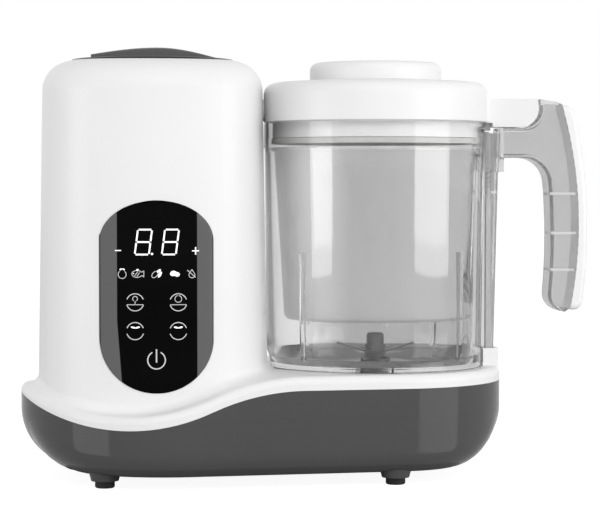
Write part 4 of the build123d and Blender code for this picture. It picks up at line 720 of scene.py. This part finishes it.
class FOODMAKER_OT_glass(bpy.types.Operator):
    """Cut the touch panel's glass to its oval-ended outline and lay it on the tower"""
    bl_idname = "foodmaker.glass"
    bl_label = "Panel glass"

    def execute(self, context):
        s = context.scene.foodmaker_finishes
        p = context.scene.foodmaker_panel
        low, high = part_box("panel_lens")
        middle, half = (low.x + high.x) / 2 + p.shift, (high.x - low.x) / 2 + p.shift
        top, foot = high.z - p.top_rise, low.z - p.longer + p.foot_drop
        bm = bmesh.new()
        rim = bmesh.ops.create_circle(bm, cap_ends=True, segments=96, radius=1.0,
                                      matrix=Matrix.Rotation(math.pi / 2, 4, "X"))["verts"]
        for vertex in rim:
            upper = vertex.co.z > -1e-6
            rise, level = (p.top_rise, top) if upper else (p.foot_drop, foot)
            vertex.co = (middle + half * vertex.co.x, 0.0, level + rise * vertex.co.z)
        for across in range(-18, 19):
            cut(bm, (middle + half * across / 19, 0, 0), (1, 0, 0))
        for level in range(1, 16):
            cut(bm, (0, 0, low.z + (high.z - low.z) * level / 16), (0, 0, 1))
        settle(skin_of(NODES["body_housing"].data, NODES["panel_lens"].data), bm.verts, "The glass")
        # Past the lens's own outline the glass lies on the housing.
        lens = skin_of(NODES["panel_lens"].data)
        for vertex in bm.verts:
            if lens.ray_cast(Vector((vertex.co.x, -1.0, vertex.co.z)), Vector((0.0, 1.0, 0.0)))[0] is None:
                vertex.co.y -= p.glass_proud
        bmesh.ops.recalc_face_normals(bm, faces=bm.faces)
        if sum(face.normal.y for face in bm.faces) > 0:
            bmesh.ops.reverse_faces(bm, faces=bm.faces)
        edge = [e for e in bm.edges if e.is_boundary]
        bmesh.ops.solidify(bm, geom=bm.faces[:], thickness=p.glass_proud)
        front = [e for e in edge if e.is_valid and e.is_manifold]
        bmesh.ops.bevel(bm, geom=front, offset=p.glass_proud * 0.4, affect="EDGES", segments=2, profile=0.5,
                        material=-1)
        glass = finished("panel_glass", mesh_from(bm, "panel_glass"), "base",
                         panel_glass("panel_glass", tuple(s.panel), tuple(s.panel_reflection), middle, half, p))
        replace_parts(glass, "panel_lens")
        return {"FINISHED"}


class FOODMAKER_OT_cap(bpy.types.Operator):
    """Model the filler cap with its thin flange and swept grip"""
    bl_idname = "foodmaker.cap"
    bl_label = "Filler cap"

    def execute(self, context):
        s = context.scene.foodmaker_finishes
        c = context.scene.foodmaker_cap
        low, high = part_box("water_cap")
        centre = Vector(((low.x + high.x) / 2, (low.y + high.y) / 2, low.z))
        radius = (high.x - low.x) / 2
        profile = [(0.0, 0.0), (radius - c.edge, 0.0), (radius, c.edge * 0.6),
                   (radius - c.edge * 0.4, c.edge), (radius * 0.7, c.dome * 0.72),
                   (radius * 0.35, c.dome * 0.93), (0.0, c.dome)]
        flange = mesh_from(turned(bmesh.new(), [(r, low.z + z) for r, z in profile], centre), "flange")

        # The grip: a bar drawn out to the right, blunt at the left and highest near the middle.
        seat = low.z + c.dome * 0.9
        bm = bmesh.new()
        bmesh.ops.create_grid(bm, x_segments=24, y_segments=10, size=1.0)
        for vertex in bm.verts:
            along, across = vertex.co.x, vertex.co.y
            if along < c.crest:
                rise = c.blunt + (1 - c.blunt) * math.sin(math.pi / 2 * (1 + along) / (1 + c.crest))
            else:
                rise = math.cos(math.pi / 2 * (along - c.crest) / (1 - c.crest))
            wide = c.width * (1 - c.taper * along * along - c.tail * max(0.0, along))
            crown = (1 - across ** 4) ** 0.5
            vertex.co = (centre.x + c.ahead + along * c.length / 2, centre.y + across * wide / 2,
                         seat + (high.z - c.edge - seat) * rise * crown)
        wall = bmesh.ops.extrude_edge_only(bm, edges=[e for e in bm.edges if e.is_boundary])["geom"]
        for vertex in (v for v in wall if isinstance(v, bmesh.types.BMVert)):
            vertex.co.z = low.z + c.edge
        bmesh.ops.contextual_create(bm, geom=[e for e in bm.edges if e.is_boundary])
        bmesh.ops.remove_doubles(bm, verts=bm.verts, dist=1e-6)
        cap = joined(flange, mesh_from(bm, "grip"))
        piece = finished("filler_cap", cap, "cap",
                         moulded("cap_satin", tuple(s.cap), 0.18, 0.0003, 0.000004, 0.05, 0.3), 50.0)
        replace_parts(piece, "water_cap")
        return {"FINISHED"}


# The added lower wall. Its outside eases from the frame's edge at the base's ends to the full one at
# front and back, by the outline's normal; its inside lies a little way into the shell's own wall.
# The rim over it is measured RIM_PROBE inside the outline, and the wall stops RIM_GAP below it.
SKIRT_EASE = (0.12, 0.85)
SKIRT_BITE = 0.0008
SKIRT_INSET, SKIRT_END_INSET = 0.00005, 0.0004
SKIRT_LIP = 0.0005
RIM_PROBE, RIM_GAP, RIM_STEP = 0.0009, 0.0002, 0.0006
OUTER_STEPS, INNER_STEPS = 9, 8
RIGHT_STATIONS, LEFT_STATIONS = 48, 56
WELL_DEPTH, WELL_HEIGHT = 0.06, 0.02


class FOODMAKER_OT_skirt(bpy.types.Operator):
    """Fill out the lower edge of the base along its front and back"""
    bl_idname = "foodmaker.skirt"
    bl_label = "Base skirt"

    def execute(self, context):
        b = context.scene.foodmaker_base
        low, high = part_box("base_shell")
        shaft_low, shaft_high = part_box("blade_shaft")
        left_r, right_x = high.y, (shaft_low.x + shaft_high.x) / 2
        left_x, right_r = low.x + left_r, high.x - right_x
        turn_over = math.acos((left_r - right_r) / (right_x - left_x))
        shell = skin_of(NODES["base_shell"].data)

        def section(normal, x, r):
            """Points of the added wall, from its top down the outside and back up inside the shell's wall."""
            full = ramp(abs(normal.y), *SKIRT_EASE)
            edge = b.shell_edge + (b.edge - b.shell_edge) * full
            above = Vector((x, 0.0, 0.1)) + normal * (r - RIM_PROBE)
            rim = shell.ray_cast(above, Vector((0.0, 0.0, -1.0)))[0]
            if rim is None:
                raise RuntimeError("The base's rim isn't where the skirt needs it")
            top = min(b.underside + b.shell_edge, rim.z - RIM_GAP)
            inset = SKIRT_INSET + SKIRT_END_INSET * (1 - full) ** 4

            def rounded(depth, radius, start, step, count):
                """Point on a quarter round that lies depth inside the outline and the underside."""
                angle = start + (math.pi / 2 - start) * step / count
                return (depth + radius * (1 - math.cos(angle)),
                        b.underside + depth + radius * (1 - math.sin(angle)))

            start = math.asin(min(1.0, max(0.0, 1 - (top - RIM_STEP - b.underside - inset) / edge)))
            stop = math.asin(max(0.0, 1 - (top - SKIRT_BITE - b.underside) / b.shell_edge))
            return [(inset + edge * (1 - math.cos(start)), top),
                    *(rounded(inset, edge, start, step, OUTER_STEPS) for step in range(OUTER_STEPS + 1)),
                    (b.shell_edge - SKIRT_LIP, b.underside + inset),
                    *(rounded(SKIRT_BITE, b.shell_edge, stop, step, INNER_STEPS)
                      for step in range(INNER_STEPS, -1, -1))]

        bm = bmesh.new()
        rows = []
        for centre, r, start, swing, count in (
                (right_x, right_r, -turn_over, 2 * turn_over, RIGHT_STATIONS),
                (left_x, left_r, turn_over, math.tau - 2 * turn_over, LEFT_STATIONS)):
            for step in range(count + 1):
                angle = start + swing * step / count
                normal = Vector((math.cos(angle), math.sin(angle), 0.0))
                rows.append([bm.verts.new(Vector((centre, 0.0, z)) + normal * (r - inset))
                             for inset, z in section(normal, centre, r)])
        for row in rows:
            for pair in zip(row, row[1:] + row[:1]):
                bm.edges.new(pair)
        for one, other in zip(rows, rows[1:] + rows[:1]):
            ring = [bm.edges.get(pair) for row in (one, other) for pair in zip(row, row[1:] + row[:1])]
            bmesh.ops.bridge_loops(bm, edges=ring)
        skirt = mesh_from(bm, "base_skirt")

        wells = bmesh.new()
        heads = bmesh.new()
        heads.from_mesh(NODES["base_screws"].data)
        for group in islands(heads):
            place = sum((v.co for v in group), Vector()) / len(group)
            bmesh.ops.create_cone(wells, cap_ends=True, segments=32, radius1=b.well, radius2=b.well,
                                  depth=WELL_DEPTH,
                                  matrix=Matrix.Translation((place.x, place.y, WELL_HEIGHT)))
        heads.free()
        skirt = joined(skirt, mesh_from(wells, "wells"), "DIFFERENCE")
        finished("base_skirt", skirt, "base", NODES["base_shell"].data.materials[0], 30.0)
        return {"FINISHED"}


# The printed signs are greyer than the lit digits and glow less.
PRINT_SHADE, PRINT_GLOW, DIGIT_GLOW = 0.62, 0.2, 0.5


class FOODMAKER_OT_marks(bpy.types.Operator):
    """Lay the lit digits, the food signs and the keys on the touch panel"""
    bl_idname = "foodmaker.marks"
    bl_label = "Panel marks"

    def execute(self, context):
        p = context.scene.foodmaker_panel
        white = tuple(context.scene.foodmaker_finishes.ink)
        ink = lit_ink("panel_ink", white, DIGIT_GLOW)
        print_ink = lit_ink("key_ink", scaled(white, PRINT_SHADE), PRINT_GLOW)
        printed = {"key_rings", "key_signs", "food_outlines", "power_sign"}
        # Places below are metres from the middle of the glass and above the worktop.
        low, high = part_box("panel_lens")
        middle = (low.x + high.x) / 2
        skin = skin_of(bpy.data.objects["panel_glass"].data)

        def lay(name, mesh):
            """Drop a flat mark on the glass."""
            mesh.transform(Matrix.Translation((middle, 0.0, 0.0)))
            settle(skin, mesh.vertices, name)
            finished(name, mesh, "base", print_ink if name in printed else ink)

        def draw(name, lines, width):
            lay(name, strokes(name, lines, width, p.proud))

        def fill(name, ovals):
            lay(name, patches(name, ovals, p.proud))

        wide, tall = p.digit_width - p.digit_stroke, p.digit_height - p.digit_stroke
        gap = 0.42 * p.digit_stroke
        digits = []
        for foot_x, foot_z in ((-0.0107, 0.1180), (0.0028, 0.1180)):
            corners = {(side, level): (foot_x + side * wide + level / 2 * p.digit_lean,
                                       foot_z + level / 2 * tall) for side in (0, 1) for level in (0, 1, 2)}
            for level in (0, 1, 2):
                digits.append(trimmed(corners[0, level], corners[1, level], gap))
            for side in (0, 1):
                digits.append(trimmed(corners[side, 0], corners[side, 1], gap))
                digits.append(trimmed(corners[side, 1], corners[side, 2], gap))
        draw("display_digits", digits, p.digit_stroke)
        fill("display_point", [(-0.0021, 0.1183, 0.0006, 1.0, 0.0)])
        draw("step_signs", [[(-0.0206, 0.1200), (-0.0175, 0.1200)], [(0.0180, 0.1197), (0.0216, 0.1197)],
                            [(0.0198, 0.1178), (0.0198, 0.1216)]], 0.0006)

        # Food signs: fruit, fish, vegetables, meat and a crossed-out drop.
        drop = [(0.0179, 0.1104), *arc(0.0179, 0.1077, 0.0015, 30, -240), (0.0179, 0.1104)]
        draw("food_outlines", [
            arc(-0.0170, 0.1080, 0.0020, 128, 284), arc(-0.0096, 0.1083, 0.0026, 30, 300, squash=0.66),
            [(-0.0073, 0.1091), (-0.0062, 0.1099), (-0.0062, 0.1068), (-0.0073, 0.1076)],
            [(-0.0108, 0.1073), (-0.0092, 0.1095)], [(-0.0097, 0.1070), (-0.0083, 0.1090)],
            arc(-0.0007, 0.1080, 0.0019, 0, 360, squash=0.62, lean=48), drop,
            [(0.0155, 0.1101), (0.0198, 0.1064)]], p.fine_line)
        fill("food_fills", [(-0.0177, 0.1106, 0.0007, 0.55, 25.0), (-0.0163, 0.1106, 0.0007, 0.55, -25.0),
                            (-0.0094, 0.1104, 0.0007, 0.5, 15.0), (-0.0114, 0.1085, 0.00028, 1.0, 0.0),
                            (0.0013, 0.1098, 0.0012, 0.5, 35.0), (0.0018, 0.1080, 0.0017, 0.42, 62.0),
                            (0.0085, 0.1085, 0.0016, 0.8, 20.0), (0.0102, 0.1081, 0.0016, 0.72, -15.0)])

        # Four touch keys: a broken ring each, the upper two with a bar, and the power key.
        rings, bars = [], []
        for x, z, barred in ((-0.0106, 0.0941, True), (0.0110, 0.0940, True),
                             (-0.0106, 0.0797, False), (0.0110, 0.0796, False)):
            rings += [arc(x, z, 0.0043, 20, 140), arc(x, z, 0.0043, 198, 144)]
            if barred:
                bars.append([(x - 0.0041, z - 0.0012), (x + 0.0041, z - 0.0012)])
        draw("key_rings", rings, p.line)
        bars += [arc(-0.0106, 0.0959, 0.0012, -60, 300), [(-0.0106, 0.0947), (-0.0106, 0.0934)],
                 arc(0.0110, 0.0957, 0.0017, 100, 340)]
        draw("key_signs", bars, p.fine_line)
        fill("key_blades", [(x + side * 0.0011, z, 0.0012, 0.36, side * 14.0)
                            for x, z in ((-0.0105, 0.0815), (0.0110, 0.0814)) for side in (-1, 1)])
        draw("power_sign", [arc(0.0, 0.0651, 0.0044, 118, 304, 40), [(0.0, 0.0639), (0.0, 0.0706)]],
             0.0007)
        return {"FINISHED"}


# Full-frame sensor in millimetres; the rest is in metres.
SENSOR_WIDTH = 36.0
CLIP = (0.05, 20.0)
FRONT_PLACE, FRONT_AIM, FRONT_SIZE = (0.1, -1.45, 1.15), (0.0, 0.0, 0.12), (1.2, 0.7)
FLOOR_REACH = 8.0


class FOODMAKER_OT_stage(bpy.types.Operator):
    """Set the camera, the lamps and the pale floor"""
    bl_idname = "foodmaker.stage"
    bl_label = "Stage"

    def execute(self, context):
        s = context.scene.foodmaker_stage
        scene = context.scene
        scene.view_settings.view_transform = "Standard"
        data = bpy.data.cameras.new("camera")
        data.lens = s.lens
        data.sensor_width = SENSOR_WIDTH
        data.clip_start, data.clip_end = CLIP
        camera = bpy.data.objects.new("camera", data)
        scene.collection.objects.link(camera)
        scene.camera = camera
        camera.location = (s.aside + s.distance * math.sin(s.turn), -s.distance * math.cos(s.turn), s.eye)
        camera.rotation_euler = (math.pi / 2 - s.tilt, 0.0, s.turn)

        def softbox(name, place, aim, size, power):
            lamp = bpy.data.lights.new(name, "AREA")
            lamp.shape = "RECTANGLE"
            lamp.size, lamp.size_y = size
            lamp.energy = power
            holder = bpy.data.objects.new(name, lamp)
            scene.collection.objects.link(holder)
            holder.location = place
            holder.rotation_euler = (Vector(place) - Vector(aim)).to_track_quat("Z", "Y").to_euler()

        low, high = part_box("jug_cup")
        for name, turn, width, tall in (("softbox_left", s.left_turn, s.left_width, s.left_tall),
                                        ("softbox_right", s.right_turn, s.right_width, s.right_tall)):
            jug = Vector(((low.x + high.x) / 2, (low.y + high.y) / 2, s.box_foot + tall / 2))
            away = Vector((math.sin(turn), -math.cos(turn), 0.0)) * s.reach
            softbox(name, jug + away, jug, (width, tall), s.glow * math.pi * width * tall)
        softbox("softbox_front", FRONT_PLACE, FRONT_AIM, FRONT_SIZE, s.front)
        bpy.data.objects["softbox_front"].visible_glossy = False

        studio = Shader(bpy.data.worlds.new("studio"))
        scene.world = studio.owner
        seen = studio.rays("Is Camera Ray", "Is Glossy Ray", "Is Transmission Ray")
        white = studio.node("ShaderNodeBackground", {}, {0: grey(1.0), 1: seen * (1.0 - s.fill) + s.fill})
        studio.node("ShaderNodeOutputWorld", {}, {0: white})

        bm = bmesh.new()
        bmesh.ops.create_grid(bm, x_segments=1, y_segments=1, size=FLOOR_REACH)
        floor = bpy.data.objects.new("floor", mesh_from(bm, "floor"))
        scene.collection.objects.link(floor)
        g = finish("floor_white")
        # The camera and clear pieces see a floor near white that still takes a shadow.
        matt = g.node("ShaderNodeBsdfDiffuse", {}, {0: grey(s.floor_lit)})
        pale = g.node("ShaderNodeBsdfDiffuse", {}, {0: grey(s.floor_seen)})
        polish = g.node("ShaderNodeBsdfGlossy", {}, {"Color": grey(1.0), "Roughness": 0.03})
        glow = g.node("ShaderNodeEmission", {}, {0: grey(1.0), 1: s.floor_glow})
        lit = g.mixed(g.rays("Is Glossy Ray") * s.polish, matt, polish)
        seen = g.node("ShaderNodeAddShader", {}, {0: pale, 1: glow})
        in_view = g.rays("Is Camera Ray", "Is Transmission Ray")
        floor.data.materials.append(g.done(g.mixed(in_view, lit, seen)))
        return {"FINISHED"}


class FOODMAKER_PT_panel(bpy.types.Panel):
    """Food maker pieces"""
    bl_label = "Food maker"
    bl_idname = "FOODMAKER_PT_panel"
    bl_space_type = "VIEW_3D"
    bl_region_type = "UI"
    bl_category = "Food maker"

    def draw(self, context):
        column = self.layout.column()
        for step in STEPS:
            column.operator(step.bl_idname)
        for group in GROUPS:
            settings = getattr(context.scene, group)
            for name in settings.bl_rna.properties.keys():
                if name not in {"rna_type", "name"}:
                    column.prop(settings, name)


STEPS = (FOODMAKER_OT_finishes, FOODMAKER_OT_jug, FOODMAKER_OT_glass, FOODMAKER_OT_marks,
         FOODMAKER_OT_cap, FOODMAKER_OT_skirt, FOODMAKER_OT_stage)
GROUPS = {"foodmaker_finishes": FoodMakerFinishes, "foodmaker_jug": FoodMakerJug,
          "foodmaker_panel": FoodMakerPanel, "foodmaker_base": FoodMakerBase,
          "foodmaker_cap": FoodMakerCap, "foodmaker_stage": FoodMakerStage}


def register():
    for each in (*GROUPS.values(), *STEPS, FOODMAKER_PT_panel):
        bpy.utils.register_class(each)
    for name, group in GROUPS.items():
        setattr(bpy.types.Scene, name, bpy.props.PointerProperty(type=group))


def unregister():
    for name in GROUPS:
        delattr(bpy.types.Scene, name)
    for each in reversed((*GROUPS.values(), *STEPS, FOODMAKER_PT_panel)):
        bpy.utils.unregister_class(each)


def main():
    register()
    bpy.ops.foodmaker.finishes()
    bpy.ops.foodmaker.jug()
    bpy.ops.foodmaker.glass()
    bpy.ops.foodmaker.marks()
    bpy.ops.foodmaker.cap()
    bpy.ops.foodmaker.skirt()
    bpy.ops.foodmaker.stage()


if __name__ == "__main__":
    main()
